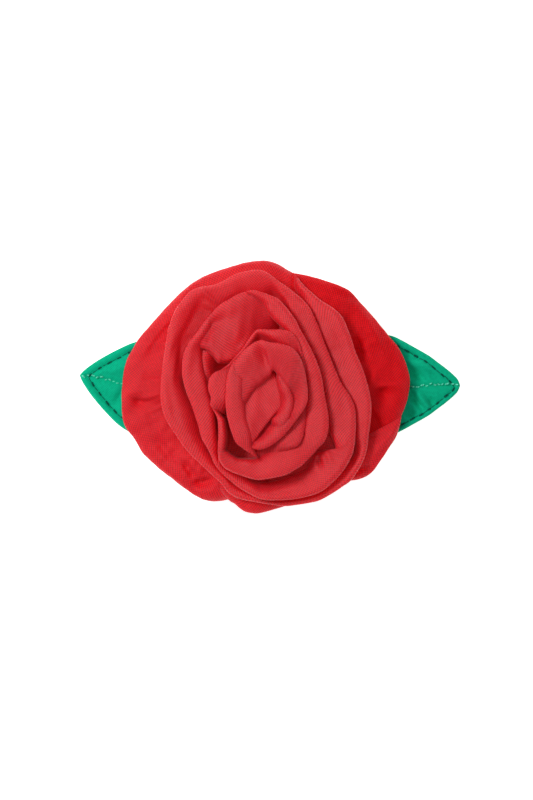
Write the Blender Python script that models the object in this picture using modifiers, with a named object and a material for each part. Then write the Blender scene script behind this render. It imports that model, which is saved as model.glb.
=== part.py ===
"""Flower hair clip: a rolled fabric rose and two stitched leaves on a sprung two-arm metal clip.

Blender 4.5, metres, +Z up. The clip lies on its lower arm and the flower faces up.
The origin is on the resting plane, below the centre of the object's outline.
Lengths in this script are millimetres until MM turns them into metres.
"""

import math

import bmesh
import bpy
from mathutils import Vector

MM = 0.001
GAP = 0.3  # free space kept between two pieces that rest on each other

# Driving dimensions of the whole object
LENGTH = 95.5  # leaf tip to leaf tip
ROSE_CENTRE = (-1.0, -1.0)

# Heights of the stacked layers above the resting plane
ARM_TOP = 11.0
FELT_BOTTOM = ARM_TOP + GAP
FELT_THICKNESS = 1.2
LEAF_BOTTOM = FELT_BOTTOM + FELT_THICKNESS + GAP
PANEL_THICKNESS = 0.6
LEAF_TOP = LEAF_BOTTOM + 2 * PANEL_THICKNESS + GAP
THREAD_RADIUS = 0.2
THREAD_HEIGHT = LEAF_TOP + THREAD_RADIUS + 0.08  # centre line of the sewing threads
BASE_DISC_BOTTOM = THREAD_HEIGHT + THREAD_RADIUS + GAP
BASE_DISC_THICKNESS = 0.8
ROSE_BOTTOM = BASE_DISC_BOTTOM + BASE_DISC_THICKNESS + GAP
ROSE_TOP = 34.8

# Round backing pieces
FELT_RADIUS = 21.0
BASE_DISC_RADIUS = 19.0

# Clip: 50 mm long, pressed from 0.7 mm spring steel strip
SHEET = 0.7
TIP_X = -26.0
TAB_X = 24.0
PIN = (9.0, 0.0, 6.2)
PIN_RADIUS = 0.9
PIN_HOLE_RADIUS = 0.98
UPPER_HALF_WIDTH = 4.6
LOWER_EAR_HALF_WIDTH = 3.5
TAB_HALF_WIDTH = 5.0
CORNER = 0.8  # chamfer that stands for the bend of the strip
TOOTH_PITCH = 1.0
TOOTH_LOW, TOOTH_HIGH = 1.55, 2.2
NOSE_LENGTH = 8.0
NOSE_HEIGHT = 7.2
BELLY = (-7.0, 4.0)  # flat stretch of the lower arm that the object rests on
WIRE_RADIUS = 0.4
COIL_RADIUS = 1.75
COIL_TURNS = 4
COIL_PITCH = 0.95

# Felt strap that holds the upper arm to the felt disc
STRAP_X = (-15.0, -8.5)
STRAP_REACH = 10.5
STRAP_THICKNESS = 0.8

# Leaf, measured from its tip along its midrib: (distance, half width)
LEAF_ROOT = ((17, 12.2), (23, 13), (31, 12), (38, 8.5), (42, 4))
LEAF_WIDTHS = {
    "left": ((0, 0), (0.8, 1.3), (3, 3.7), (5, 5.5), (8, 7.9), (12, 10.6), *LEAF_ROOT),
    "right": ((0, 0), (0.6, 1.5), (1.7, 2.7), (3.7, 4.4), (5.7, 5.9), (7.7, 7.4), (11.7, 9.7), *LEAF_ROOT),
}
LEAF_INSET = 1.8  # edge seam to topstitching
LEAVES = {"left": ((-LENGTH / 2, 3.0), -10.5), "right": ((LENGTH / 2, 0.4), 180.0)}

# Rose: rim of each turn seen from above, anticlockwise from the right, and the height of that rim
TURNS = {
    "turn_1_outer": (25.6, ((25.2, -2), (22.5, 6), (20, 13.2), (16.5, 19), (11, 23.2), (5.5, 27.3), (-3, 29.2),
                            (-11, 27), (-20, 24), (-25.5, 15), (-27.2, 4), (-26.6, -7), (-20, -17), (-12.5, -24),
                            (-3, -29.2), (8, -29.4), (17, -25.9), (22.8, -19.5))),
    "turn_2": (28.2, ((20, -2.2), (17, 4), (13.2, 12.5), (9, 21), (3, 24.8), (-4, 24.6), (-12.5, 20.3), (-19, 14),
                      (-21.7, 5), (-20, -5), (-17, -12.3), (-13.6, -19.5), (-7, -26), (1, -28.3), (11, -26.2),
                      (18.5, -20.3), (21, -11))),
    "turn_3": (30.2, ((13.8, 0), (11, 7.7), (7.5, 14.5), (2, 19.6), (-4, 20.6), (-11, 17.6), (-16, 11.5), (-16.6, 4),
                      (-15, -5), (-13.7, -13), (-11, -19.7), (-3, -22.8), (5.5, -21), (11.5, -15.5), (14, -8))),
    "turn_4": (32.6, ((9.4, -1), (8.5, 5.5), (5, 11.8), (-2.3, 13.8), (-7.5, 9), (-11.2, 3.5), (-12.2, -4),
                      (-10.8, -11), (-7, -16), (-2.5, -17.3), (3, -14.2), (8, -7.5))),
    "turn_5": (34.3, ((7, -1), (6, 5), (3, 8.8), (-2.3, 10.8), (-6, 6.5), (-8.4, 1), (-8.8, -5), (-7.6, -10.5),
                      (-4.5, -14), (-1, -13.8), (3, -10.5), (6, -6))),
    "bud": (33.6, ((3.6, -1), (2.6, 3), (0.3, 5.8), (-2.8, 5.2), (-5, 1), (-5.5, -4), (-4.8, -8.5), (-2.8, -11),
                   (-0.3, -9.2), (2.3, -6))),
}
# Lowest ring of petals: outline from above, and the angles (degrees) that each petal covers
BASE_OUTLINE = ((35, 1), (34, 6.5), (31, 12), (26, 17.8), (20, 24.2), (13, 27), (6, 28.8), (-2, 31.65), (-10, 30.1),
                (-19, 26.4), (-26, 20.2), (-32.5, 13.5), (-36.3, 7), (-37, 0), (-36.3, -9), (-32, -16.6), (-25, -22.7),
                (-18, -27.8), (-11, -28.8), (-4, -31.65), (3, -30.4), (12, -28), (20.5, -24), (25, -21.8),
                (30, -15.2), (32.6, -9))
BASE_PETALS = {"right": (-48, 80), "left": (80, 248), "bottom": (248, 280)}
PETAL_END_GAP = 0.6  # degrees left free at each end of a petal
BASE_RIM_HEIGHT = 18.6
BASE_EDGE_THICKNESS = 3.6
ANGLE_STEP = 8  # degrees between two sections of a petal ring


def clear_scene():
    for obj in list(bpy.data.objects):
        bpy.data.objects.remove(obj)


def new_collection(name):
    collection = bpy.data.collections.new(name)
    bpy.context.scene.collection.children.link(collection)
    return collection


def new_material(name, colour, roughness, metallic=0.0):
    material = bpy.data.materials.new(name)
    material.use_nodes = True
    shader = material.node_tree.nodes["Principled BSDF"]
    shader.inputs["Base Color"].default_value = (*colour, 1)
    shader.inputs["Roughness"].default_value = roughness
    shader.inputs["Metallic"].default_value = metallic
    return material


def add_object(name, data, material, collection, origin=(0, 0, 0)):
    """Link an object whose data is given in metres relative to its origin, in millimetres."""
    obj = bpy.data.objects.new(name, data)
    obj.location = Vector(origin) * MM
    data.materials.append(material)
    collection.objects.link(obj)
    return obj


def mesh_from(name, points, faces, origin=(0, 0, 0)):
    mesh = bpy.data.meshes.new(name)
    mesh.from_pydata([(Vector(p) - Vector(origin)) * MM for p in points], [], faces)
    tidy = bmesh.new()
    tidy.from_mesh(mesh)
    bmesh.ops.recalc_face_normals(tidy, faces=tidy.faces)
    tidy.to_mesh(mesh)
    tidy.free()
    return mesh


def loft(name, sections, closed):
    """Skin a run of equal closed sections. A run that isn't closed gets a face on each end."""
    count = len(sections[0])
    points = [p for section in sections for p in section]
    faces = []
    for i in range(len(sections) if closed else len(sections) - 1):
        here, there = i * count, (i + 1) % len(sections) * count
        for j in range(count):
            k = (j + 1) % count
            faces.append((here + j, here + k, there + k, there + j))
    if not closed:
        faces.append(tuple(range(count)))
        faces.append(tuple(len(points) - count + j for j in range(count)))
    return mesh_from(name, points, faces)


def sheet_strip(name, rows, origin=(0, 0, 0)):
    """An open surface: a grid of faces over equal rows of points."""
    count = len(rows[0])
    points = [p for row in rows for p in row]
    faces = []
    for i in range(len(rows) - 1):
        for j in range(count - 1):
            a = i * count + j
            faces.append((a, a + 1, a + 1 + count, a + count))
    return mesh_from(name, points, faces, origin)


def solidify(obj, thickness):
    modifier = obj.modifiers.new("thickness", "SOLIDIFY")
    modifier.thickness = thickness * MM
    modifier.offset = -1
    modifier.use_even_offset = True


def shade_smooth(mesh, angle=40):
    mesh.shade_smooth()
    mesh.set_sharp_from_angle(angle=math.radians(angle))


def between(a, b, t):
    return tuple(u + (v - u) * t for u, v in zip(a, b))


def spline_value(x0, x1, y0, y1, slope0, slope1, x):
    """Cubic Hermite value at x between two points with known slopes."""
    step = x1 - x0
    t = (x - x0) / step
    return (
        (2 * t**3 - 3 * t**2 + 1) * y0
        + (t**3 - 2 * t**2 + t) * step * slope0
        + (3 * t**2 - 2 * t**3) * y1
        + (t**3 - t**2) * step * slope1
    )


def smooth_curve(pairs):
    """A smooth function through (x, y) pairs sorted by x."""
    slopes = []
    for i in range(len(pairs)):
        a, b = pairs[max(i - 1, 0)], pairs[min(i + 1, len(pairs) - 1)]
        slopes.append((b[1] - a[1]) / (b[0] - a[0]))

    def value(x):
        i = max(k for k in range(len(pairs) - 1) if pairs[k][0] <= x or k == 0)
        (x0, y0), (x1, y1) = pairs[i], pairs[i + 1]
        return spline_value(x0, x1, y0, y1, slopes[i], slopes[i + 1], x)

    return value


def polar_outline(outline):
    """A closed outline as a smooth radius over the angle round the rose's centre, in degrees."""
    polar = []
    for x, y in outline:
        dx, dy = x - ROSE_CENTRE[0], y - ROSE_CENTRE[1]
        polar.append((math.degrees(math.atan2(dy, dx)) % 360, math.hypot(dx, dy)))
    polar.sort()
    before = [(a - 360, r) for a, r in polar[-3:]]
    after = [(a + 360, r) for a, r in polar[:3]]
    curve = smooth_curve(before + polar + after)
    return lambda angle: curve(angle % 360)


def at_angle(angle, radius, height):
    turn = math.radians(angle)
    return (ROSE_CENTRE[0] + radius * math.cos(turn), ROSE_CENTRE[1] + radius * math.sin(turn), height)


def lean(height):
    """Share of a turn's full spread at a height: every turn narrows towards the sewing base."""
    return 0.55 + 0.45 * (height - ROSE_BOTTOM) / (ROSE_TOP - ROSE_BOTTOM)


# --- rose ---------------------------------------------------------------------------------------


def turn_section(angle, rim_height, outer, inner):
    """Section of one turn of the roll: outer wall, rounded rim, sloping inner face, inner wall."""
    spread_out = outer(angle) / lean(rim_height)
    spread_in = inner[1](angle) / lean(inner[0])
    valley = rim_height - 1.8

    def wall_out(z, inset=0.0):
        return at_angle(angle, spread_out * lean(z) - inset, z)

    def wall_in(z):
        return at_angle(angle, spread_in * lean(z) + 1.3 * GAP, z)

    rim_inset = 0.2 * (spread_out * lean(valley) - spread_in * lean(valley))
    return [
        wall_out(ROSE_BOTTOM),
        wall_out((ROSE_BOTTOM + rim_height) / 2),
        wall_out(rim_height - 1.4),
        wall_out(rim_height - 0.5, 0.2 * rim_inset),
        wall_out(rim_height, rim_inset),
        wall_in(valley),
        wall_in((ROSE_BOTTOM + valley) / 2),
        wall_in(ROSE_BOTTOM),
    ]


def add_rose_turns(material, collection):
    curves = [(name, height, polar_outline(outline)) for name, (height, outline) in TURNS.items()]
    angles = range(0, 360, ANGLE_STEP)
    for (name, height, outer), (_, next_height, next_curve) in zip(curves, curves[1:]):
        sections = [turn_section(a, height, outer, (next_height, next_curve)) for a in angles]
        mesh = loft(name, sections, closed=True)
        shade_smooth(mesh)
        add_object(f"rose_{name}", mesh, material, collection)


def add_bud(material, collection):
    """The tight centre of the roll: one solid, lofted upwards and domed at the top."""
    height, outline = TURNS["bud"]
    outer = polar_outline(outline)
    levels = ((ROSE_BOTTOM, 1.0), ((ROSE_BOTTOM + height) / 2, 1.0), (height - 1.2, 1.0), (height - 0.3, 0.86),
              (height, 0.55))
    sections = []
    for z, share in levels:
        spread = lean(min(z, height)) / lean(height) * share
        sections.append([at_angle(a, outer(a) * spread, z) for a in range(0, 360, ANGLE_STEP)])
    mesh = loft("bud", sections, closed=False)
    shade_smooth(mesh)
    add_object("rose_bud", mesh, material, collection)


def base_section(angle, outline, outer_turn):
    """Section of a base petal: a soft folded edge that lies on the leaves and rises to the first turn."""
    rim = outline(angle)
    rim_height, turn_curve = outer_turn
    spread = turn_curve(angle) / lean(rim_height)
    top_height = ROSE_BOTTOM + 6.3
    low = BASE_RIM_HEIGHT - BASE_EDGE_THICKNESS / 2
    high = BASE_RIM_HEIGHT + BASE_EDGE_THICKNESS / 2
    inner = spread * lean(top_height) + 1.3 * GAP
    shoulder = max(min(rim - 3.5, inner + 4), inner + 0.3)
    return [
        at_angle(angle, spread * lean(ROSE_BOTTOM) + 1.3 * GAP, ROSE_BOTTOM),
        at_angle(angle, rim - 1.6, low),
        at_angle(angle, rim - 0.3, BASE_RIM_HEIGHT - 0.8),
        at_angle(angle, rim, BASE_RIM_HEIGHT),
        at_angle(angle, rim - 0.3, BASE_RIM_HEIGHT + 0.8),
        at_angle(angle, rim - 1.6, high),
        at_angle(angle, shoulder, top_height),
        at_angle(angle, inner, top_height),
    ]


def add_base_petals(material, collection):
    outline = polar_outline(BASE_OUTLINE)
    height, turn_outline = TURNS["turn_1_outer"]
    outer_turn = (height, polar_outline(turn_outline))
    for name, (start, end) in BASE_PETALS.items():
        angles = [start + PETAL_END_GAP, *range(start + ANGLE_STEP, end, ANGLE_STEP), end - PETAL_END_GAP]
        mesh = loft(name, [base_section(a, outline, outer_turn) for a in angles], closed=False)
        shade_smooth(mesh)
        add_object(f"base_petal_{name}", mesh, material, collection)


# --- leaves -------------------------------------------------------------------------------------


def leaf_edge(side, inset, first, last, count):
    """One side of the leaf's outline, moved inwards by inset: (distance from the tip, half width)."""
    width = smooth_curve(LEAF_WIDTHS[side])
    edge = []
    for i in range(count + 1):
        s = first + (last - first) * (i / count) ** 1.5
        slope = (width(s + 0.05) - width(max(s - 0.05, 0))) / (0.1 if s > 0.05 else 0.05 + s)
        length = math.hypot(1, slope)
        edge.append((s + inset * slope / length, max(width(s) - inset / length, 0)))
    return edge


def on_leaf(side, along, across):
    """Leaf coordinates to the object's: along the midrib from the tip, and across it."""
    (tip_x, tip_y), heading = LEAVES[side]
    turn = math.radians(heading)
    return (
        tip_x + along * math.cos(turn) - across * math.sin(turn),
        tip_y + along * math.sin(turn) + across * math.cos(turn),
    )


def leaf_outline(side, inset=0.0, first=0.0):
    edge = leaf_edge(side, inset, first, LEAF_ROOT[-1][0], 15)
    both = [(s, w) for s, w in edge] + [(s, -w) for s, w in reversed(edge) if w > 0]
    return [on_leaf(side, s, w) for s, w in both]


def flat_panel(name, outline, bottom, thickness, material, collection):
    curve = bpy.data.curves.new(name, "CURVE")
    curve.dimensions = "2D"
    curve.fill_mode = "BOTH"
    curve.extrude = thickness / 2 * MM
    spline = curve.splines.new("POLY")
    spline.points.add(len(outline) - 1)
    for point, (x, y) in zip(spline.points, outline):
        point.co = (x * MM, y * MM, 0, 1)
    spline.use_cyclic_u = True
    add_object(name, curve, material, collection, (0, 0, bottom + thickness / 2))


def wire(name, points, radius, sides_level, material, collection):
    curve = bpy.data.curves.new(name, "CURVE")
    curve.dimensions = "3D"
    curve.bevel_depth = radius * MM
    curve.bevel_resolution = sides_level
    curve.use_fill_caps = True
    spline = curve.splines.new("POLY")
    spline.points.add(len(points) - 1)
    for point, place in zip(spline.points, points):
        point.co = (*(Vector(place) * MM), 1)
    return add_object(name, curve, material, collection)


def add_leaves(panel, edge_thread, vein_thread, collection):
    for side in LEAVES:
        outline = leaf_outline(side)
        back = LEAF_BOTTOM
        front = LEAF_TOP - PANEL_THICKNESS
        flat_panel(f"{side}_leaf_back_panel", outline, back, PANEL_THICKNESS, panel, collection)
        flat_panel(f"{side}_leaf_front_panel", outline, front, PANEL_THICKNESS, panel, collection)
        half = leaf_edge(side, LEAF_INSET, 0.9, 40, 18)
        seam = [(s, w) for s, w in reversed(half)] + [(s, -w) for s, w in half if w > 0.3]
        seam = [(*on_leaf(side, s, w), THREAD_HEIGHT) for s, w in seam]
        wire(f"{side}_leaf_edge_thread", seam, THREAD_RADIUS, 1, edge_thread, collection)
        vein = [(*on_leaf(side, s, 0), THREAD_HEIGHT) for s in (4.2, 14, 24, 34, 40)]
        wire(f"{side}_leaf_vein_thread", vein, THREAD_RADIUS, 1, vein_thread, collection)


# --- backing ------------------------------------------------------------------------------------


def add_disc(name, radius, bottom, thickness, material, collection):
    shape = bmesh.new()
    bmesh.ops.create_cone(
        shape, cap_ends=True, segments=48, radius1=radius * MM, radius2=radius * MM, depth=thickness * MM
    )
    mesh = bpy.data.meshes.new(name)
    shape.to_mesh(mesh)
    shape.free()
    centre = (*ROSE_CENTRE, bottom + thickness / 2)
    obj = add_object(name, mesh, material, collection, centre)
    bevel = obj.modifiers.new("soft edge", "BEVEL")
    bevel.width = 0.2 * MM
    bevel.segments = 1


def add_keeper_strap(material, collection):
    """Felt strap: glued to the disc on both sides of the upper arm, and passing under the arm."""
    high = FELT_BOTTOM - GAP
    low = ARM_TOP - 1.3 - GAP
    side = UPPER_HALF_WIDTH + 2 * GAP
    profile = [(-STRAP_REACH, high), (-side - 2.2, high), (-side - 0.9, high - 0.7), (-side, low + 0.6),
               (-side + 1.2, low)]
    profile += [(-y, z) for y, z in reversed(profile)]
    rows = [[(x, y, z) for y, z in profile] for x in STRAP_X]
    mesh = sheet_strip("strap", rows)
    if mesh.polygons[0].normal.z < 0:
        mesh.flip_normals()
    strap = add_object("clip_keeper_strap", mesh, material, collection)
    solidify(strap, STRAP_THICKNESS)


# --- clip ---------------------------------------------------------------------------------------


def arm_rows(stations, flange_side):
    """Rows of a channel: flange edge, bend, web, bend, flange edge. Flanges point to flange_side in Z."""
    rows = []
    for x, z, half, flange in stations:
        edge, bend = z + flange_side * flange, z + flange_side * CORNER
        rows.append([
            (x, -half, edge), (x, -half, bend), (x, -half + CORNER, z),
            (x, half - CORNER, z), (x, half, bend), (x, half, edge),
        ])
    return rows


def upper_stations():
    """(x, web height, half width, flange depth) from the finger tab to the nose."""
    plain = 1.3
    ear = {12.6: 4.4, 11.6: 6.4, 10.4: 7.3, 9.0: 7.5, 7.6: 7.3, 6.4: 6.4, 5.4: 4.4}
    stations = [(TAB_X, 3.9, plain), (TAB_X - 0.9, 4.8, plain), (20, TAB_HALF_WIDTH, plain),
                (16, TAB_HALF_WIDTH, plain), (13.2, UPPER_HALF_WIDTH, plain)]
    stations += [(x, UPPER_HALF_WIDTH, depth) for x, depth in ear.items()]
    stations += [(4.6, UPPER_HALF_WIDTH, plain), (-10, UPPER_HALF_WIDTH, plain), (-18, UPPER_HALF_WIDTH, plain),
                 (-24, 4.3, plain), (TIP_X + 0.6, 3.8, plain), (TIP_X, 3.0, plain)]
    return [(x, ARM_TOP, half, depth) for x, half, depth in stations]


def lower_stations():
    """(x, web height, half width, flange height) from the finger tab to the toothed nose."""
    stations = [(TAB_X, 0, 3.9, 1.0), (TAB_X - 0.9, 0.2, 4.8, 1.0), (20, 0.9, TAB_HALF_WIDTH, 1.1),
                (16, 1.9, TAB_HALF_WIDTH - 0.2, 1.2), (14, 2.3, 4.0, 1.4)]
    ear_top = {12.4: 6.2, 11.3: 8.0, 10.1: 8.6, 9.0: 8.7, 7.9: 8.6, 6.7: 8.0, 5.6: 6.2}
    for x, top in ear_top.items():
        web = 2.2 if x >= 7.9 else 2.2 - 0.55 * (7.9 - x)
        stations.append((x, web, LOWER_EAR_HALF_WIDTH, top - web))
    stations += [(5.0, 0.5, LOWER_EAR_HALF_WIDTH, 1.6), (BELLY[1], 0, 3.8, 1.5), (2.0, 0, 4.4, 1.5)]
    stations += [(BELLY[0], 0, UPPER_HALF_WIDTH, 1.5), (-9, 0.9, UPPER_HALF_WIDTH, 1.5)]
    nose_start = TIP_X + NOSE_LENGTH
    stations.append((nose_start + 1.4, NOSE_HEIGHT - 1.0, UPPER_HALF_WIDTH, 1.5))
    for i in range(int(2 * NOSE_LENGTH / TOOTH_PITCH) + 1):
        x = nose_start - i * TOOTH_PITCH / 2
        taper = max(0.0, (TIP_X + 2 - x) / 2)
        half = UPPER_HALF_WIDTH - 1.3 * taper**2
        stations.append((x, NOSE_HEIGHT, half, TOOTH_HIGH if i % 2 else TOOTH_LOW))
    return stations


def add_pin_cutter(collection):
    bpy.ops.mesh.primitive_cylinder_add(
        vertices=32, radius=PIN_HOLE_RADIUS * MM, depth=16 * MM, location=Vector(PIN) * MM,
        rotation=(math.pi / 2, 0, 0)
    )
    cutter = bpy.context.object
    cutter.name = "pin_hole_cutter"
    cutter.hide_render = True
    cutter.display_type = "WIRE"
    for owner in list(cutter.users_collection):
        owner.objects.unlink(cutter)
    collection.objects.link(cutter)
    return cutter


def add_arm(name, stations, flange_side, cutter, material, collection):
    mesh = sheet_strip(name, arm_rows(stations, flange_side), PIN)
    web_up = mesh.polygons[2].normal.z > 0
    if web_up != (flange_side < 0):
        mesh.flip_normals()
    arm = add_object(name, mesh, material, collection, PIN)
    solidify(arm, SHEET)
    hole = arm.modifiers.new("pin hole", "BOOLEAN")
    hole.operation = "DIFFERENCE"
    hole.object = cutter
    return arm


def add_hinge_pin(material, collection):
    """A rivet turned about its own axis: a shank with a flat head peened on each end."""
    head_inside = UPPER_HALF_WIDTH + GAP
    head_outside = head_inside + 0.6
    head_radius = 1.7
    side = [(0, head_outside), (head_radius - 0.3, head_outside), (head_radius, head_outside - 0.25),
            (head_radius, head_inside), (PIN_RADIUS, head_inside)]
    profile = side + [(r, -z) for r, z in reversed(side)]
    mesh = bpy.data.meshes.new("hinge_pin")
    edges = [(i, i + 1) for i in range(len(profile) - 1)]
    mesh.from_pydata([(r * MM, 0, z * MM) for r, z in profile], edges, [])
    pin = add_object("hinge_pin", mesh, material, collection, PIN)
    pin.rotation_euler = (math.pi / 2, 0, 0)
    screw = pin.modifiers.new("turn", "SCREW")
    screw.steps = screw.render_steps = 24
    screw.use_merge_vertices = True
    screw.merge_threshold = 0.00001
    screw.use_smooth_shade = True


def add_torsion_spring(material, collection):
    """Round wire: a leg under the upper finger tab, four turns round the pin, a leg on the lower tab."""
    per_turn = 12
    half_height = COIL_TURNS * COIL_PITCH / 2
    half_turns = COIL_TURNS + 0.5
    x0, _, z0 = PIN
    points = [(19.0, -half_height - 0.2, 9.1), (14.0, -half_height - 0.2, 8.7), (11.0, -half_height - 0.1, 8.25)]
    steps = int(half_turns * per_turn)
    for i in range(steps + 1):
        turn = math.pi / 2 + 2 * math.pi * i / per_turn
        y = -half_height + 2 * half_height * i / steps
        points.append((x0 + COIL_RADIUS * math.cos(turn), y, z0 + COIL_RADIUS * math.sin(turn)))
    points += [(11.0, half_height + 0.1, 4.2), (14.0, half_height + 0.2, 3.75), (19.0, half_height + 0.2, 2.6)]
    wire("torsion_spring", points, WIRE_RADIUS, 1, material, collection)


def main():
    clear_scene()
    parts = new_collection("flower_hair_clip")
    cutters = new_collection("cutters")
    red = new_material("petal_fabric", (0.62, 0.03, 0.035), 0.75)
    green = new_material("leaf_fabric", (0.0, 0.36, 0.2), 0.7)
    dark_thread = new_material("dark_thread", (0.0, 0.09, 0.06), 0.6)
    pale_thread = new_material("pale_thread", (0.25, 0.75, 0.55), 0.5)
    felt = new_material("felt", (0.5, 0.03, 0.035), 0.95)
    canvas = new_material("canvas", (0.75, 0.72, 0.66), 0.9)
    steel = new_material("nickel_steel", (0.72, 0.72, 0.73), 0.25, 1.0)

    add_base_petals(red, parts)
    add_rose_turns(red, parts)
    add_bud(red, parts)
    add_leaves(green, dark_thread, pale_thread, parts)
    add_disc("felt_backing_disc", FELT_RADIUS, FELT_BOTTOM, FELT_THICKNESS, felt, parts)
    add_disc("sewing_base_disc", BASE_DISC_RADIUS, BASE_DISC_BOTTOM, BASE_DISC_THICKNESS, canvas, parts)
    add_keeper_strap(felt, parts)
    cutter = add_pin_cutter(cutters)
    add_arm("clip_upper_arm", upper_stations(), -1, cutter, steel, parts)
    add_arm("clip_lower_arm", lower_stations(), 1, cutter, steel, parts)
    add_hinge_pin(steel, parts)
    add_torsion_spring(steel, parts)


main()
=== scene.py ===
"""Flower hair clip: the looks of a rolled fabric rose with two stitched leaves on a sprung metal clip.

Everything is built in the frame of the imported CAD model. Shapes are given in millimetres and turned
into metres by MM. Heights count from the plane that the clip rests on.
"""

import math
from collections import namedtuple

import bmesh
import bpy
import numpy as np
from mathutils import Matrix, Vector


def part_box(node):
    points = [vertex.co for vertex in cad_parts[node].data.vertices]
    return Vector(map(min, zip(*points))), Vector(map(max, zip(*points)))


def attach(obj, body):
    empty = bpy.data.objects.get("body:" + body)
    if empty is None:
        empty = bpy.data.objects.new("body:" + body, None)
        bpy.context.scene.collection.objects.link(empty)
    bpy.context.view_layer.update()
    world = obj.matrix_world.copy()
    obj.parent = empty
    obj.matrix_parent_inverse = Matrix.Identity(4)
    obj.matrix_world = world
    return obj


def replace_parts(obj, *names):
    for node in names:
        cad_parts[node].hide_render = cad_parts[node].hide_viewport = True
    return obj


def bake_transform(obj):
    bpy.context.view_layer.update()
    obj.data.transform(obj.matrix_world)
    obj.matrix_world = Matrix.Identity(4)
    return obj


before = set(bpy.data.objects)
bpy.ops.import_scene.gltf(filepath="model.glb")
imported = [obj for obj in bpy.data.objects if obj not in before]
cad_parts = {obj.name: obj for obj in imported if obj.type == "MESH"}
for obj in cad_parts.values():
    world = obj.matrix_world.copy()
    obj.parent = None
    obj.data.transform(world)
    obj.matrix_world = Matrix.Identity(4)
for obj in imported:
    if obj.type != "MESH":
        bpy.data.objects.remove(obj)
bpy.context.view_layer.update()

MM = 0.001
TURN = 2 * math.pi
UV_UNIT = 10  # millimetres of cloth for each unit of UV
ROSE_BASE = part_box("rose_turn_1_outer")[0].z / MM

# ---------------------------------------------------------------------------------------------
# Curves and meshes
# ---------------------------------------------------------------------------------------------


def distances(line):
    """Length along a line of points at each point."""
    return np.concatenate([[0], np.cumsum(np.linalg.norm(np.diff(line, axis=0), axis=1))])


def sampled(line, along, at):
    """Values of a line at these lengths along it."""
    return np.column_stack([np.interp(at, along, line[:, k]) for k in range(line.shape[1])])


def tangents(line):
    ahead = np.gradient(line, axis=0)
    return ahead / np.linalg.norm(ahead, axis=1)[:, None]


def normals(tangent):
    return np.column_stack([-tangent[:, 1], tangent[:, 0]])


def in_axes(x, y, degrees):
    """Coordinates along and across an axis at this heading."""
    c, n = math.cos(math.radians(degrees)), math.sin(math.radians(degrees))
    return x * c + y * n, -x * n + y * c


def smooth_rows(rows, spacing, closed=False):
    """Catmull-Rom curve through rows of numbers, resampled so that x and y advance by spacing."""
    rows = np.array(rows, float)
    count = len(rows)
    fine = []
    for i in range(count if closed else count - 1):
        if closed:
            p = [rows[(i + k) % count] for k in (-1, 0, 1, 2)]
        else:
            p = [rows[min(max(i + k, 0), count - 1)] for k in (-1, 0, 1, 2)]
        knots = [0.0]
        for a, b in zip(p, p[1:]):
            knots.append(knots[-1] + max(math.dist(a[:2], b[:2]), 1e-3) ** 0.5)
        t0, t1, t2, t3 = knots
        pieces = max(4, int(math.dist(p[1][:2], p[2][:2]) / spacing * 3))
        t = np.linspace(t1, t2, pieces, endpoint=False)[:, None]
        a1 = (t1 - t) / (t1 - t0) * p[0] + (t - t0) / (t1 - t0) * p[1]
        a2 = (t2 - t) / (t2 - t1) * p[1] + (t - t1) / (t2 - t1) * p[2]
        a3 = (t3 - t) / (t3 - t2) * p[2] + (t - t2) / (t3 - t2) * p[3]
        b1 = (t2 - t) / (t2 - t0) * a1 + (t - t0) / (t2 - t0) * a2
        b2 = (t3 - t) / (t3 - t1) * a2 + (t - t1) / (t3 - t1) * a3
        fine.append((t2 - t) / (t2 - t1) * b1 + (t - t1) / (t2 - t1) * b2)
    fine.append(rows[:1] if closed else rows[-1:])
    fine = np.concatenate(fine)
    along = distances(fine[:, :2])
    samples = np.linspace(0, along[-1], max(3, int(along[-1] / spacing) + 1))
    if closed:
        samples = samples[:-1]
    return sampled(fine, along, samples), samples


def line_2d(points, count):
    """Smooth open line through 2-D points, sampled evenly by length."""
    rows, _ = smooth_rows(points, 0.3)
    along = distances(rows)
    return sampled(rows, along, np.linspace(0, along[-1], count)), along[-1]


def smooth_line(points, spacing):
    """Smooth line through 3-D points, sampled evenly by length."""
    rows = np.array(points, float)
    line = []
    for i in range(len(rows) - 1):
        p = [rows[min(max(i + k, 0), len(rows) - 1)] for k in (-1, 0, 1, 2)]
        for t in np.linspace(0, 1, 6, endpoint=False):
            line.append(0.5 * (2 * p[1] + (p[2] - p[0]) * t + (2 * p[0] - 5 * p[1] + 4 * p[2] - p[3]) * t**2
                               + (3 * p[1] - p[0] - 3 * p[2] + p[3]) * t**3))
    line.append(rows[-1])
    line = np.array(line)
    along = distances(line)
    return sampled(line, along, np.linspace(0, along[-1], int(along[-1] / spacing) + 1))


def new_mesh(name, points, faces, uvs=None):
    """A smooth mesh from points in millimetres. uvs are per point."""
    mesh = bpy.data.meshes.new(name)
    mesh.from_pydata([tuple(p) for p in np.asarray(points) * MM], [], faces)
    if uvs is not None:
        layer = mesh.uv_layers.new(name="cloth")
        loops = np.zeros(len(mesh.loops), int)
        mesh.loops.foreach_get("vertex_index", loops)
        layer.data.foreach_set("uv", np.asarray(uvs, np.float32)[loops].reshape(-1))
    mesh.shade_smooth()
    return mesh


def outward(mesh):
    """The same mesh with its faces turned outwards."""
    work = bmesh.new()
    work.from_mesh(mesh)
    bmesh.ops.recalc_face_normals(work, faces=work.faces)
    work.to_mesh(mesh)
    work.free()
    return mesh


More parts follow.
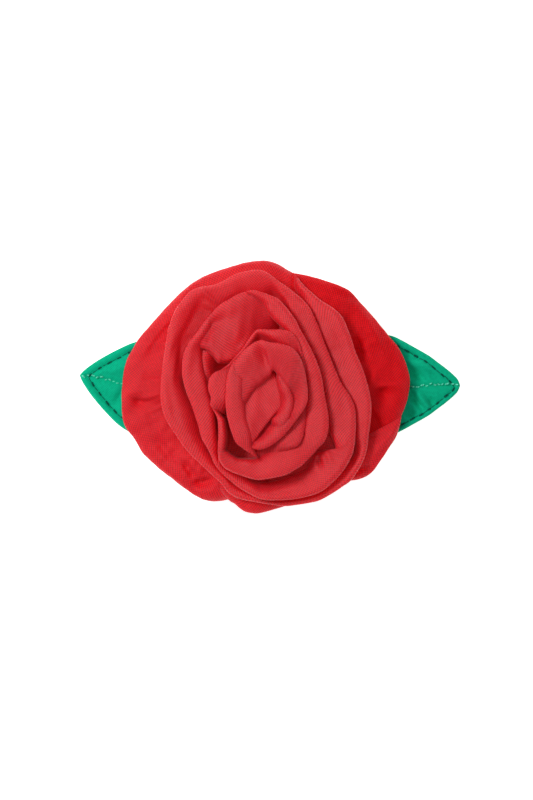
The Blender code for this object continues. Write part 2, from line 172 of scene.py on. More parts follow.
def lofted(rings, count, loop=False, turned=False):
    """Faces of a skin over rings of count points each, capped at both ends unless the rings form a loop."""
    faces = []
    for i in range(rings if loop else rings - 1):
        a, b = i * count, (i + 1) % rings * count
        for j in range(count):
            k = (j + 1) % count
            faces.append((a + j, a + k, b + k, b + j) if turned else (a + j, b + j, b + k, a + k))
    if not loop:
        first, last = tuple(range(count)), tuple((rings - 1) * count + j for j in range(count))
        faces += [first[::-1], last] if turned else [first, last[::-1]]
    return faces


def add(name, mesh, body="flower", material=None):
    obj = bpy.data.objects.new(name, mesh)
    bpy.context.scene.collection.objects.link(obj)
    if material is not None:
        mesh.materials.append(material)
    if body:
        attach(obj, body)
    return obj


def dress(name, mesh, material, slot, *nodes):
    """A visible piece on the flower that stands for these nodes of the CAD model."""
    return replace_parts(add(name, mesh, material=material), *nodes)


# ---------------------------------------------------------------------------------------------
# Folded cloth strips
# ---------------------------------------------------------------------------------------------

ACROSS = 26  # points on each layer of a strip's section
ROUND = 5  # points round its fold
STATION_SPACING = 0.5  # between the sections of a strip


def falls(mid, foot, plateau=0.8):
    """Drops below the rim at a quarter, half, three quarters and all of a strip's width."""
    drops = []
    for share in (0.25, 0.5, 0.75, 1.0):
        if share <= plateau:
            drops.append(mid * (share / plateau) ** 1.5)
        else:
            drops.append(mid + (foot - mid) * ((share - plateau) / (1 - plateau)) ** 0.9)
    return drops


def strip_section(width, drops, depth, thick):
    """Closed section of a folded strip: (inward distance, height below the rim) and length across."""
    centre = [(0.5 * thick, -0.5 * thick), (0.5 * thick + 0.1 * width, -0.04 * thick - 0.2 * drops[0])]
    centre += [((k + 1) / 4 * width + 0.25 * thick, -drop) for k, drop in enumerate(drops)]
    fall = max(depth - drops[3], 1)
    foot = width + 0.25 * thick
    centre += [(foot + 0.3, -drops[3] - 0.3 * fall), (foot + 0.8, -drops[3] - fall)]
    line, length = line_2d(centre, ACROSS)
    tangent = tangents(line)
    normal = normals(tangent)
    share = np.linspace(0, 1, ACROSS)
    half = 0.5 * thick * (1 - 0.45 * share**0.7)
    top = line + normal * half[:, None]
    under = line - normal * half[:, None]
    turn = np.linspace(math.pi / 2, 3 * math.pi / 2, ROUND + 2)[1:-1]
    fold = [line[0] + half[0] * (math.cos(a) * tangent[0] + math.sin(a) * normal[0]) for a in turn]
    section = np.concatenate([top[::-1], fold, under])
    across = np.concatenate([share[::-1] * length, np.zeros(ROUND), -share * length])
    return section, across


def ripple(x, y, seed, waves=9):
    """Smooth noise from -1 to 1, about one bump for each unit of x or y."""
    rng = np.random.default_rng(seed)
    total = 0
    for _ in range(waves):
        heading, pitch, phase = rng.uniform(0, TURN), rng.uniform(2.2, 5), rng.uniform(0, TURN)
        total = total + np.sin(pitch * (x * math.cos(heading) + y * math.sin(heading)) + phase)
    return total / waves**0.5


TAPER, END_SHARE = 2.5, 0.12  # over this length a strip thins out to this share of its thickness
GATHER, CRUMPLE, SWAY = 0.16, 0.1, 0.22  # heights of long waves, small wrinkles and the sway of the rim
INSIDE = 12  # distance from the rim where waves and wrinkles have their full height


def strip(name, table, seed, thick=0.95, wave=1.0, closed=False, sculpt=()):
    """Loft a folded strip along the stations of a table. Returns its mesh and its flat width and length."""
    rows, along = smooth_rows(stations(table), STATION_SPACING, closed)
    points, lengths, sides, ways = [], [], [], []
    for i, (row, u) in enumerate(zip(rows, along)):
        inward = row[2:4] - row[:2]
        width = np.linalg.norm(inward)
        inward = inward / max(width, 1e-6)
        ahead = rows[min(i + 1, len(rows) - 1), :2] - rows[max(i - 1, 0), :2]
        ahead /= max(np.linalg.norm(ahead), 1e-6)
        end = 1.0 if closed else min(1, min(u, along[-1] - u) / TAPER + END_SHARE)
        section, across = strip_section(width, row[5:9], row[4] - ROSE_BASE, thick * end)
        place = row[:2] + section[:, :1] * inward
        points.append(np.column_stack([place, row[4] + section[:, 1]]))
        lengths.append(np.full(len(section), u))
        sides.append(across)
        ways.append(np.tile(np.r_[inward, ahead], (len(section), 1)))
    count = len(section)
    points, u, v, ways = (np.concatenate(k) for k in (points, lengths, sides, ways))
    level = np.minimum(1, np.abs(v) / INSIDE)
    gather = ripple(u * 0.2, v * 0.05, seed) * GATHER * np.minimum(1, level * 1.5)
    crumple = ripple(u * 0.5, v * 0.22, seed + 50) * CRUMPLE * (0.3 + level)
    rim = ripple(u * 0.1, u * 0, seed + 90) * SWAY
    inwards, forwards = wave * 0.5 * crumple, wave * 0.4 * gather
    points[:, :2] += ways[:, :2] * inwards[:, None] + ways[:, 2:] * forwards[:, None]
    points[:, 2] += wave * (gather + crumple + rim)
    for x, y, heading, long, wide, lift, sharp in sculpt:
        a, b = in_axes(points[:, 0] - x, points[:, 1] - y, heading)
        spread = np.where(b > 0, wide * sharp, wide)
        points[:, 2] += lift * np.exp(-((a / long) ** 2) - (b / spread) ** 2)
    mesh = new_mesh(name, points, lofted(len(rows), count, closed), np.column_stack([u, v]) / UV_UNIT)
    layer = 2 * np.abs(v).mean() * MM * count / (2 * ACROSS)
    return mesh, (float(layer), float(along[-1] * MM))


def stations(table):
    """Full rows of a table of a strip. A row holds rim x, y; foot x, y; rim height; and how far the cloth
    has dropped at a quarter, half, three quarters and all of its width. Four numbers alone are the drops
    of the rows of five after them. A row of seven gives the middle and foot of a plateau."""
    rows = []
    for entry in table:
        if len(entry) == 4:
            drops = entry
        elif len(entry) == 5:
            rows.append((*entry, *drops))
        elif len(entry) == 7:
            rows.append((*entry[:5], *falls(*entry[5:])))
        else:
            rows.append(entry)
    return rows


# ---------------------------------------------------------------------------------------------
# Materials
# ---------------------------------------------------------------------------------------------


def material(name, colour, roughness, metallic=0.0):
    made = bpy.data.materials.new(name)
    made.use_nodes = True
    shader = made.node_tree.nodes["Principled BSDF"]
    shader.inputs["Base Color"].default_value = (*colour, 1)
    shader.inputs["Roughness"].default_value = roughness
    shader.inputs["Metallic"].default_value = metallic
    return made, made.node_tree, shader


WAVE_LENGTH = TURN / 20  # of a band texture at scale 1


def bands(tree, source, turn, pitch, distortion=0.8):
    """Threads that run at turn degrees, pitch apart, in the units of the source coordinates."""
    mapping = tree.nodes.new("ShaderNodeMapping")
    mapping.inputs["Rotation"].default_value = (0, 0, math.radians(turn))
    wave = tree.nodes.new("ShaderNodeTexWave")
    wave.inputs["Scale"].default_value = WAVE_LENGTH / pitch
    wave.inputs["Distortion"].default_value = distortion
    wave.inputs["Detail"].default_value = 2
    wave.inputs["Detail Scale"].default_value = 1.6
    tree.links.new(source, mapping.inputs["Vector"])
    tree.links.new(mapping.outputs["Vector"], wave.inputs["Vector"])
    return wave.outputs["Fac"]


def blotches(tree, source, scale, detail=3):
    noise = tree.nodes.new("ShaderNodeTexNoise")
    noise.inputs["Scale"].default_value = scale
    noise.inputs["Detail"].default_value = detail
    tree.links.new(source, noise.inputs["Vector"])
    return noise.outputs["Fac"]


def maths(tree, operation, a, b):
    node = tree.nodes.new("ShaderNodeMath")
    node.operation = operation
    for socket, value in zip(node.inputs, (a, b)):
        if isinstance(value, (int, float)):
            socket.default_value = value
        else:
            tree.links.new(value, socket)
    return node.outputs["Value"]


def spread(tree, source, low, high):
    node = tree.nodes.new("ShaderNodeMapRange")
    node.inputs["To Min"].default_value = low
    node.inputs["To Max"].default_value = high
    tree.links.new(source, node.inputs["Value"])
    return node.outputs["Result"]


def tinted(tree, shader, colour, factor):
    """Base colour times a factor that varies over the surface."""
    scale = tree.nodes.new("ShaderNodeVectorMath")
    scale.operation = "SCALE"
    scale.inputs[0].default_value = colour
    tree.links.new(factor, scale.inputs["Scale"])
    tree.links.new(scale.outputs["Vector"], shader.inputs["Base Color"])


def bumped(tree, shader, height, depth, strength=1.0):
    """Relief from a height of 0 to 1; depth is in millimetres."""
    bump = tree.nodes.new("ShaderNodeBump")
    bump.inputs["Strength"].default_value = strength
    bump.inputs["Distance"].default_value = depth * MM
    tree.links.new(height, bump.inputs["Height"])
    tree.links.new(bump.outputs["Normal"], shader.inputs["Normal"])


RED_SHEEN, GREEN_SHEEN = (1, 0.55, 0.55, 1), (0.6, 1, 0.85, 1)


def woven(name, colour, roughness, specular, sheen, twill, relief, contrast, bias=45, glow=0.0):
    """Cloth: threads twill millimetres apart across a line at bias degrees, with slubs and uneven dye."""
    made, tree, shader = material(name, colour, roughness)
    shader.inputs["Specular IOR Level"].default_value = specular
    shader.inputs["Sheen Weight"].default_value = sheen
    shader.inputs["Sheen Roughness"].default_value = 0.35
    shader.inputs["Sheen Tint"].default_value = RED_SHEEN if colour[0] > colour[1] else GREEN_SHEEN
    shader.inputs["Subsurface Weight"].default_value = glow
    shader.inputs["Subsurface Radius"].default_value = (1, 0.05, 0.05)
    shader.inputs["Subsurface Scale"].default_value = 2.5 * MM
    uv = tree.nodes.new("ShaderNodeUVMap")
    uv.uv_map = "cloth"
    source = uv.outputs["UV"]
    weft = bands(tree, source, bias + 84, twill / UV_UNIT, 1.5)
    line = bands(tree, source, bias, twill / UV_UNIT, 1.2)
    weave = maths(tree, "ADD", maths(tree, "MULTIPLY", weft, 0.38), maths(tree, "MULTIPLY", line, 0.62))
    dye = blotches(tree, source, 1.3)
    slub = blotches(tree, source, 14, 2)
    uneven = maths(tree, "ADD", spread(tree, dye, -0.1, 0.1), spread(tree, slub, -0.2, 0.2))
    tone = maths(tree, "ADD", spread(tree, weave, 1 - contrast, 1 + contrast), uneven)
    tinted(tree, shader, colour, tone)
    height = maths(tree, "ADD", weave, maths(tree, "MULTIPLY", slub, 0.5))
    bumped(tree, shader, height, relief)
    return made


petal = woven("petal_crepe", (0.82, 0.005, 0.017), 0.55, 0.6, 0.16, 0.52, 0.09, 0.3, glow=0.5)
petal_base = woven("petal_crepe_base", (0.79, 0.005, 0.0155), 0.6, 0.36, 0.12, 0.52, 0.08, 0.3, glow=0.4)
# darker copy of the petal cloth with less specular and sheen: painted shade for the right base petal, which
# lies in shade
petal_painted_shade = woven("petal_crepe_painted_shade", (0.76, 0.002, 0.008), 0.65, 0.16, 0.06, 0.52, 0.08, 0.3, glow=0.4)
# the right leaf's green is darker than the left's: painted shade, as that leaf catches less light
leaf_cloth = {
    side: woven(f"leaf_cloth_{side}", colour, 0.75, 0.06, 0.05, 0.42, 0.05, 0.16, 30)
    for side, colour in (("left", (0.002, 0.54, 0.29)), ("right", (0.002, 0.495, 0.265)))
}


def thread_material(name, colour, pitch):
    """Plied thread: a twist that follows the length (U) and bends with the girth (V)."""
    made, tree, shader = material(name, colour, 0.55)
    shader.inputs["Specular IOR Level"].default_value = 0.1
    uv = tree.nodes.new("ShaderNodeUVMap")
    uv.uv_map = "cloth"
    twist = bands(tree, uv.outputs["UV"], 35, pitch / UV_UNIT, 0.3)
    tinted(tree, shader, colour, spread(tree, twist, 0.6, 1.25))
    bumped(tree, shader, twist, 0.06)
    return made


dark_thread = thread_material("dark_thread", (0.0, 0.12, 0.075), 0.5)
pale_thread = thread_material("pale_thread", (0.13, 0.86, 0.6), 0.5)


def felted(name, colour, contrast):
    """Needled felt: soft tangled fibres in object space."""
    made, tree, shader = material(name, colour, 0.95)
    shader.inputs["Specular IOR Level"].default_value = 0.1
    shader.inputs["Sheen Weight"].default_value = 0.35
    shader.inputs["Sheen Roughness"].default_value = 0.6
    place = tree.nodes.new("ShaderNodeTexCoord").outputs["Object"]
    fibres = blotches(tree, place, 1400, 6)
    clumps = blotches(tree, place, 220, 4)
    both = maths(tree, "ADD", fibres, maths(tree, "MULTIPLY", clumps, 0.6))
    tinted(tree, shader, colour, spread(tree, both, 1 - 1.6 * contrast, 1 + 0.6 * contrast))
    bumped(tree, shader, both, 0.35)
    return made


felt = felted("felt_red", (0.55, 0.02, 0.025), 0.3)
canvas = woven("canvas_natural", (0.62, 0.57, 0.48), 0.85, 0.15, 0.0, 0.9, 0.09, 0.16, 0)


def brushed_nickel(colour):
    made, tree, shader = material("brushed_nickel", colour, 0.28, 1.0)
    place = tree.nodes.new("ShaderNodeTexCoord").outputs["Object"]
    stretch = tree.nodes.new("ShaderNodeMapping")
    stretch.inputs["Scale"].default_value = (60, 2400, 2400)
    tree.links.new(place, stretch.inputs["Vector"])
    grain = blotches(tree, stretch.outputs["Vector"], 1, 3)
    wear = blotches(tree, place, 160, 4)
    rough = maths(tree, "ADD", spread(tree, grain, 0.16, 0.34), spread(tree, wear, -0.05, 0.12))
    tree.links.new(rough, shader.inputs["Roughness"])
    tinted(tree, shader, colour, spread(tree, wear, 0.86, 1.06))
    bumped(tree, shader, grain, 0.006)
    return made


nickel = brushed_nickel((0.66, 0.65, 0.62))

# ---------------------------------------------------------------------------------------------
# The rose: one long folded strip that is rolled inwards, each turn a little higher than the last
# ---------------------------------------------------------------------------------------------

# Drops that many rows share. stations() says how a row is read
FLAT = (0.05, 0.1, 0.15, 0.5)  # a face that stays level to its foot
EASY = (0.15, 0.3, 1.1, 3.0)  # a face that sinks a little at its foot
LIP = (0.2, 0.4, 0.8, 1.3)  # a narrow band
VALLEY = (0.4, 1.3, 2.4, 3.2)  # a face that falls away from its rim

OUTER_TURNS = [
    LIP, (5.8, 28.8, 5.9, 28, 21.6), (8, 26, 6.9, 24.9, 22.6), (10, 24, 8.3, 22.8, 23.3), FLAT,
    (13, 21.5, 10, 20.3, 23.9), (16, 19.6, 11.4, 17.5, 24.2), (18, 17.5, 12.4, 14.8, 24.4),
    (20, 13, 14, 10.8, 24.5), (21.5, 8.5, 15.2, 7.5, 24.5), (23, 5, 16.8, 3.6, 24.5),
    (24.3, 1, 18.5, 0, 24.5), (25.3, -4, 21.2, -4.5, 24.5), (25.2, -8, 21.8, -8.3, 24.4),
    (24.7, -12, 21.9, -12, 24.3), LIP, (24, -16.5, 22.1, -16.1, 24.1), (22.5, -20, 20.8, -18.7, 23.9),
    (20, -23.6, 18, -21.9, 23.7), (18, -25, 16, -23.6, 23.6), (15, -27, 13.2, -25.7, 23.4),
    (12, -28.5, 10.6, -27.1, 23.3), (8, -29.3, 7, -28, 23.2), (4, -29.8, 3, -28.5, 23.1),
    (0, -29.4, -0.5, -28.2, 23.1), (-3, -28.9, -3, -27.4, 23.2), EASY, (-8, -27.8, -7.2, -25.4, 23.5),
    (-10.5, -26.3, -9.6, -23.8, 23.7), (-12, -24.3, -11, -22.2, 23.9), (-14, -22.5, -12.7, -20.3, 24.1),
    (-18, -18.7, -14.6, -17.5, 24.4), (-20, -16.8, -15.6, -15.5, 24.5), (-22, -14.3, -17, -12.8, 24.6),
    (-24, -11.3, -18, -10, 24.7), (-25.5, -9, -19, -7.5, 24.8), (-26.8, -6, -19.9, -4.8, 24.8),
    (-27.3, -3, -21, -2.3, 24.9), (-27.3, 0, -22, 0.5, 24.9), (-27, 4, -22.2, 4, 25),
    (-26.5, 8, -21.7, 8, 25, 0.2, 0.6, 1.6, 2.8), (-26, 11, -20, 11, 25, 0.3, 1.2, 2.4, 3), VALLEY,
    (-25.5, 14, -17.8, 13.3, 25.1), (-24, 18.5, -15.7, 16.3, 25.1),
    (-22, 21.5, -14.2, 18.3, 25.2, 0.4, 1.3, 2.2, 2.6), (-20, 23.8, -13, 19.5, 25.3, 0.3, 1, 1.4, 1.8),
    (-17.5, 24.9, -11.8, 20.5, 25.4, 0.2, 0.5, 0.7, 1.4), (-14, 25.5, -10, 21.6, 25.4, 0.2, 0.3, 0.6, 1.5),
    (-12, 26.3, -8.5, 22.6, 25.5, 0.2, 0.3, 0.7, 1.6), (-9, 28, -6.5, 23, 25.5, 0.2, 0.4, 0.8, 1.6),
    (-6, 28.9, -4.5, 23.3, 25.6, 0.2, 0.4, 0.8, 1.7), (-4, 29.2, -3, 23.2, 25.6, 0.2, 0.4, 0.9, 1.9),
    (-2, 29.1, -1.2, 22.8, 25.6, 0.2, 0.5, 1.2, 2.6), (-0.6, 28.5, 0.2, 22.6, 25.6, 0.2, 0.6, 2, 3.4),
    (0.8, 27.5, 1, 22.2, 25.7, 0.2, 1, 2.6, 3.8), (2.4, 26.3, 1.8, 21.8, 25.7, 0.2, 0.8, 2.6, 3.6),
    (4, 25.2, 2.8, 21.2, 25.8, 0.1, 0.4, 1.8, 3), (6, 23.7, 4.1, 20.4, 25.9, 0.1, 0.2, 0.5, 1.6), FLAT,
    (8, 22, 5.1, 19, 26), (10, 19.7, 6.2, 17.4, 26.2), (11.2, 17.2, 7.1, 15.8, 26.3),
    (12.3, 14.7, 8.3, 13.3, 26.4), (13.6, 11.2, 9.8, 10.6, 26.5), (15, 7.7, 11.2, 8, 26.6),
    (16.3, 4.4, 12.3, 5, 26.7), (17.8, 1, 13.2, 2, 26.8), (19.5, -1.5, 13.8, -1.5, 26.8),
    (21, -4.5, 14.3, -4.5, 26.8), (21.4, -7, 15, -7.5, 26.8), (21.4, -11, 15.7, -11, 26.7),
    (21.2, -14, 17.2, -14.9, 26.6), (20.5, -17, 15.4, -15.7, 26.5, 0.2, 0.3, 0.5, 1),
    (18, -21.3, 12.4, -16.9, 26.3, 0.2, 0.4, 0.7, 1.4), (16, -23.5, 11.1, -18.7, 26.2, 0.2, 0.5, 0.9, 1.8),
    (13, -26, 9.5, -21.2, 26, 0.2, 0.6, 1.2, 2), (10, -27.2, 7.5, -22.2, 25.9, 0.2, 0.7, 1.5, 2.2),
    (0.2, 0.8, 1.7, 2.4), (6, -28, 4.5, -23.3, 25.8), (2, -28.3, 1, -24.4, 25.8),
    (-2, -28.1, -2, -24.6, 25.8), EASY, (-5, -26.8, -4, -24.2, 25.9), LIP, (-8, -25, -6.5, -23, 26),
    (-11, -22.5, -9.8, -21.2, 26.2), (-13, -20.5, -12.2, -19.7, 26.4), (-14, -19, -13.1, -18.5, 26.6),
    (-14.7, -17.2, -13.5, -17, 26.8), FLAT, (-16, -14.7, -13.9, -14.5, 27), (-17, -13, -14.2, -12.5, 27.1),
    (-18, -9.5, -14.5, -9.3, 27.3), (-19.5, -5, -15.1, -4.5, 27.5), (-21, -1, -16.1, -1, 27.7),
    (-21.8, 2, -16.7, 1.8, 27.8), (-22, 5, -17.3, 5, 27.9, 0.1, 0.2, 0.4, 1),
    (-21.5, 8.5, -17.7, 8.5, 28, 0.1, 0.2, 0.6, 1.4), (-20, 11.5, -17.6, 10.4, 28.1, 0.1, 0.3, 0.8, 1.8),
    (0.1, 0.3, 0.9, 2), (-18, 14, -16.3, 12.4, 28.2), (-16.4, 16.3, -14.9, 14.7, 28.2),
    (-14.8, 18.2, -13.6, 16.6, 27.9, 0.1, 0.3, 0.9, 1.8),
]
PANEL = [
    LIP, (-19.4, 11, -18, 10, 26), (-18.3, 12.6, -17.3, 10.1, 27, 0.5, 0.3, -0.4, -0.6),
    (-17.2, 14.2, -16.4, 10.2, 27.6, 0.8, 0.4, -0.6, -0.9),
    (-15.9, 16.4, -15.3, 9.2, 28.1, 1.2, 0.5, -0.6, -0.8),
    (-14.6, 18.3, -14.3, 8.3, 28.5, 1.3, 0.6, -0.5, -0.6),
    (-13.1, 20, -13.1, 7, 28.8, 1.2, 0.7, -0.2, -0.4), (-11.5, 21.2, -11.8, 6.6, 28.9, 0.9, 0.8, 0.1, 0),
    (-10, 22, -10.2, 6.8, 28.9, 0.6, 0.9, 0.5, 0.4), (-8.5, 22.9, -8.5, 7.1, 28.9, 0.4, 0.9, 0.9, 0.8),
    (-7, 23.5, -7, 8.8, 28.9, 0.4, 0.9, 1.3, 1.3), (-5.5, 23.9, -5.5, 10.9, 28.8, 0.4, 1, 1.6, 1.9),
    (-4, 24.1, -4, 12.4, 28.7, 0.5, 1.2, 1.8, 2.4), (-2, 23.2, -2, 12.2, 28.1, 0.5, 1.2, 2, 3.2),
    (0, 21.6, 0.5, 11.6, 27.6, 0.5, 1.6, 3.6, 6), (2, 19.4, 3.6, 11.4, 27.2, 1.6, 5.4, 7.6, 8.6),
    (4.3, 17, 6.4, 11.2, 26.6, 3.4, 6.6, 7.8, 8.8), (6.5, 14, 8, 11, 26, 0.9, 1.8, 2.4, 3.5),
]
BAND = [
    LIP, (-6, 23.8, -5.6, 22.9, 29.5), (-4, 24.15, -3.8, 22.8, 29.7), (-2, 23.6, -2.4, 22, 29.8),
    (0, 22.9, -1.2, 20.9, 29.9), FLAT, (2, 22, -0.1, 19.3, 30), (3.5, 20.5, 1, 17.9, 30.1),
    (5, 18.7, 2.5, 16.4, 30.2), (6.5, 16.5, 4.2, 14.9, 30.2), (8, 13.6, 5.7, 13, 30.3),
    (9.3, 11.3, 6.9, 11, 30.3), (10.5, 9, 8, 8.8, 30.3), (11.5, 6.8, 8.7, 6.3, 30.2),
    (12.4, 4.3, 9.1, 4, 30.1), (13.1, 1.5, 9.4, 1.3, 29.9), (13.6, -1.5, 9.5, -1.5, 29.7),
    (14.1, -4.5, 9.6, -4.5, 29.6), (14.6, -7.3, 9.5, -7.3, 29.6), (14.5, -11, 9.2, -10, 29.6),
    (13.7, -13.5, 8.6, -12.2, 29.6), (12, -15.3, 7.8, -13.9, 29.6),
    (10, -17.5, 6.3, -15, 29.6, 0.1, 0.2, 0.3, 0.7), (8, -19.5, 4.6, -15.4, 29.6, 0.1, 0.2, 0.4, 1),
    (6, -20.8, 3, -15.6, 29.6, 0.1, 0.3, 0.6, 1.6), (4, -21.9, 1.5, -15.8, 29.6, 0.1, 0.3, 0.7, 2.2),
    (0, -22.8, -1, -16.4, 29.6, 0.1, 0.3, 0.8, 2.6), (-3, -23.2, -3.2, -18.6, 29.6, 0.1, 0.2, 0.4, 1.2),
    (-5, -22.8, -5.4, -18.9, 29.7), (-7.5, -22, -7.9, -18.6, 29.7), (-10, -21, -9.9, -17.5, 29.8),
    (-11.8, -19.8, -11.4, -16.2, 29.9), (-12.7, -18, -12, -15, 30), LIP, (-13.1, -16, -12.3, -14, 29.7),
]
SMALL_FOLD = [
    LIP, (-12.9, -19.8, -12.4, -18.8, 28.9), (0.1, 0.1, 0.2, 0.5), (-12.9, -17.5, -12, -17, 29.6),
    (-13, -15, -11.7, -14.8, 30), (-12.9, -12.5, -11.5, -12.3, 30.2), (-12.9, -10, -11.7, -9.8, 30.3),
    (-13.1, -8.2, -12.1, -8.1, 30.3), LIP, (-13.7, -6.6, -12.6, -6.9, 30.2),
    (-14.5, -5.2, -13.5, -5.7, 29.9), (-15.2, -3.9, -14.4, -4.2, 29.2),
]
TURN_4 = [
    LIP, (-14.2, -5.2, -11.8, -6.6, 29.9), FLAT, (-14.9, -4.4, -11.2, -4.4, 30.5),
    (-14.7, -2.8, -10.6, -2, 30.8), (-15.4, -0.6, -10.4, 0.5, 31), (-15.2, 1.9, -10.1, 2.8, 31.1),
    (-13.9, 3.6, -9.4, 4.5, 31.2), (-12.4, 4.2, -8.7, 5.4, 31.3), LIP, (-10.5, 5.6, -8.5, 6.3, 31.5),
    (-8.9, 7.3, -7.7, 7.5, 31.7), (-7.1, 9.3, -6.3, 9.1, 31.9), (-5.6, 11.5, -4.9, 10.9, 32.1),
    (-4.4, 13.2, -3.7, 11.8, 32.2, 0.3, 1, 1.8, 2.6), (-3.2, 14.3, -2.9, 11.9, 32.4, 0.9, 1.9, 2.6, 3.2),
    (-1.5, 14.4, -1.4, 11.3, 32.4, 0.5, 1.5, 2.5, 3.2), (0, 14.3, -0.2, 11, 32.4, 0.1, 0.7, 2.1, 3),
    (1.5, 14.3, 1, 10.8, 32.4, 0.05, 0.2, 1.4, 2.6), (3.2, 14.2, 2.2, 10.6, 32.4, 0.05, 0.1, 0.5, 2),
    (5.1, 13.7, 3.7, 10.1, 32.3, 0.2, 0.2, 0.3, 1.2), (6.9, 11.6, 5.4, 9.3, 32, 0.6, 0.6, 0.7, 0.7),
    (8, 8.8, 6.9, 7.8, 31.6, 0.8, 1, 1.1, 1.4), (8.9, 6, 8, 5.5, 31), (9, 3.5, 8.3, 3.2, 30.2),
]
TURN_5_LEFT = [
    LIP, (-3, -17.9, -3.5, -16.6, 30.8), (-4.5, -16.8, -4.3, -15, 31.4), FLAT,
    (-6.5, -15.5, -4.8, -13.2, 32), (-8.4, -14, -5.2, -11.3, 32.5), (-9.4, -11.8, -5.9, -9.6, 32.8),
    (-10.3, -9, -6.5, -7.4, 33), (-10.9, -6, -6.9, -5, 33.2), (-11.1, -3, -7.2, -2.4, 33.3),
    (-10.9, 0.2, -7.2, 0.2, 33.4), (-10.6, 3, -7.2, 2.6, 33.4), LIP, (-9.7, 5.4, -7.6, 4.4, 33.5),
    (-8.5, 7, -7.6, 6, 33.4),
]
TURN_5 = [
    LIP, (-8.6, -6.5, -6.3, -5.8, 31.8), FLAT, (-9.4, -4, -6.4, -3.8, 32.3), (-9.9, -1.4, -6.2, -3, 32.6),
    (-10, 1.2, -5.5, -1.6, 32.8), (-9.8, 3.4, -4.6, -0.4, 33),
    (-9.3, 5.3, -3.8, 0.6, 33.3, 0.1, 0.3, 0.5, 0.9), (-8, 7.4, -2.8, 1.1, 33.6, 0.2, 0.5, 0.8, 1.2),
    (-6.5, 9.1, -2.1, 1.8, 33.8, 0.3, 0.6, 1, 1.4), (-5, 10.4, -1.5, 2.4, 34, 0.3, 0.7, 1, 1.4),
    (-4, 11.1, -1, 2.9, 34.1, 0.4, 0.8, 1.1, 1.4), (-3, 11.5, -0.5, 3.3, 34.1, 0.4, 0.9, 1.1, 1.4),
    (-2.2, 11.7, 0, 3.7, 34.2, 0.3, 0.6, 0.8, 1.2), (-1, 11.4, 0.5, 4.7, 34.2, 0.2, 0.3, 0.5, 0.9),
    (0.1, 0.2, 0.4, 0.8), (0, 11.1, 1, 4.8, 34.1), (2, 10.9, 2.1, 3.7, 34), (4, 10.4, 3.2, 2.2, 33.8),
    (5.7, 9.6, 4, 1.1, 33.6), (7.1, 8.1, 4.6, 0.1, 33.3), (8, 6.3, 5, -0.8, 33.1),
    (8.7, 4, 5.4, -1.8, 32.9), (9.1, 1.5, 5.7, -2.8, 32.7), (9.4, -1, 5.9, -3.8, 32.6),
    (9.3, -3.6, 5.8, -5.2, 32.5), (8.6, -5.3, 5.2, -6.6, 32.4),
    (7.2, -7.4, 4.4, -8, 32.3, 0.1, 0.2, 0.6, 1.4), (5.6, -9.5, 1.4, -7.6, 32.2, 0.1, 0.4, 1.8, 2.9),
    (4.1, -11.4, -0.6, -9, 32.1, 0.1, 0.5, 2.2, 3.2), (2.5, -13, -2, -10.7, 32, 0.1, 0.6, 2.2, 3.2),
    (0, -14.8, -3.2, -12.3, 31.8, 0.1, 0.5, 1.7, 2.8), (-2, -15.6, -3.9, -13.4, 31.5, 0.1, 0.3, 0.8, 1.6),
    LIP, (-3.6, -15.6, -4.2, -14.2, 31.6), (-5, -15, -4.8, -13.8, 31.2),
]
CRESCENT = [
    LIP, (1.4, 4.4, 1.5, 3.6, 32), (2.1, 4, 1.7, 2.9, 32.7), (0.1, 0.2, 0.5, 1), (2.9, 3.1, 1.9, 1.8, 33),
    (4.2, 1.3, 2.5, 0, 33.1), (0.1, 0.2, 0.6, 1.2), (5.2, -0.9, 3.1, -1.6, 33.1), (5.8, -3, 3.5, -3.2, 33),
    (5.8, -4.8, 3.2, -4.9, 32.9), (5.2, -7, 2.3, -6.7, 32.7, 0.1, 0.2, 0.5, 1),
    (4.4, -8.8, 1.2, -8.1, 32.5, 0.1, 0.2, 0.4, 1), LIP, (3.2, -10.4, 0.9, -9.6, 32.1),
    (1.8, -11.9, 0.7, -10.9, 31.5),
]
PLEAT = [
    FLAT, (9.3, -2.2, 7.4, -3, 27.6), (9.3, -5, 6.2, -6.2, 28.4), (9.1, -8, 5.2, -8.8, 29.2),
    (8.7, -10.6, 3.6, -10.8, 29.8, 0.1, 0.2, 0.4, 0.9), (8.1, -12.8, 1.6, -12.6, 30.2, 0.1, 0.2, 0.6, 1.4),
    (7, -14.6, 0.4, -14, 30.3, 0.1, 0.3, 0.8, 1.6), (0.1, 0.3, 0.9, 1.6), (5, -15.6, -1, -14.8, 29.8),
    (3.2, -16.4, -2.6, -15.2, 29.1), (1.2, -17.4, -3.5, -15.9, 28.6, 0.1, 0.3, 0.6, 1), LIP,
    (-0.8, -18.3, -3.9, -16.9, 28.4),
]
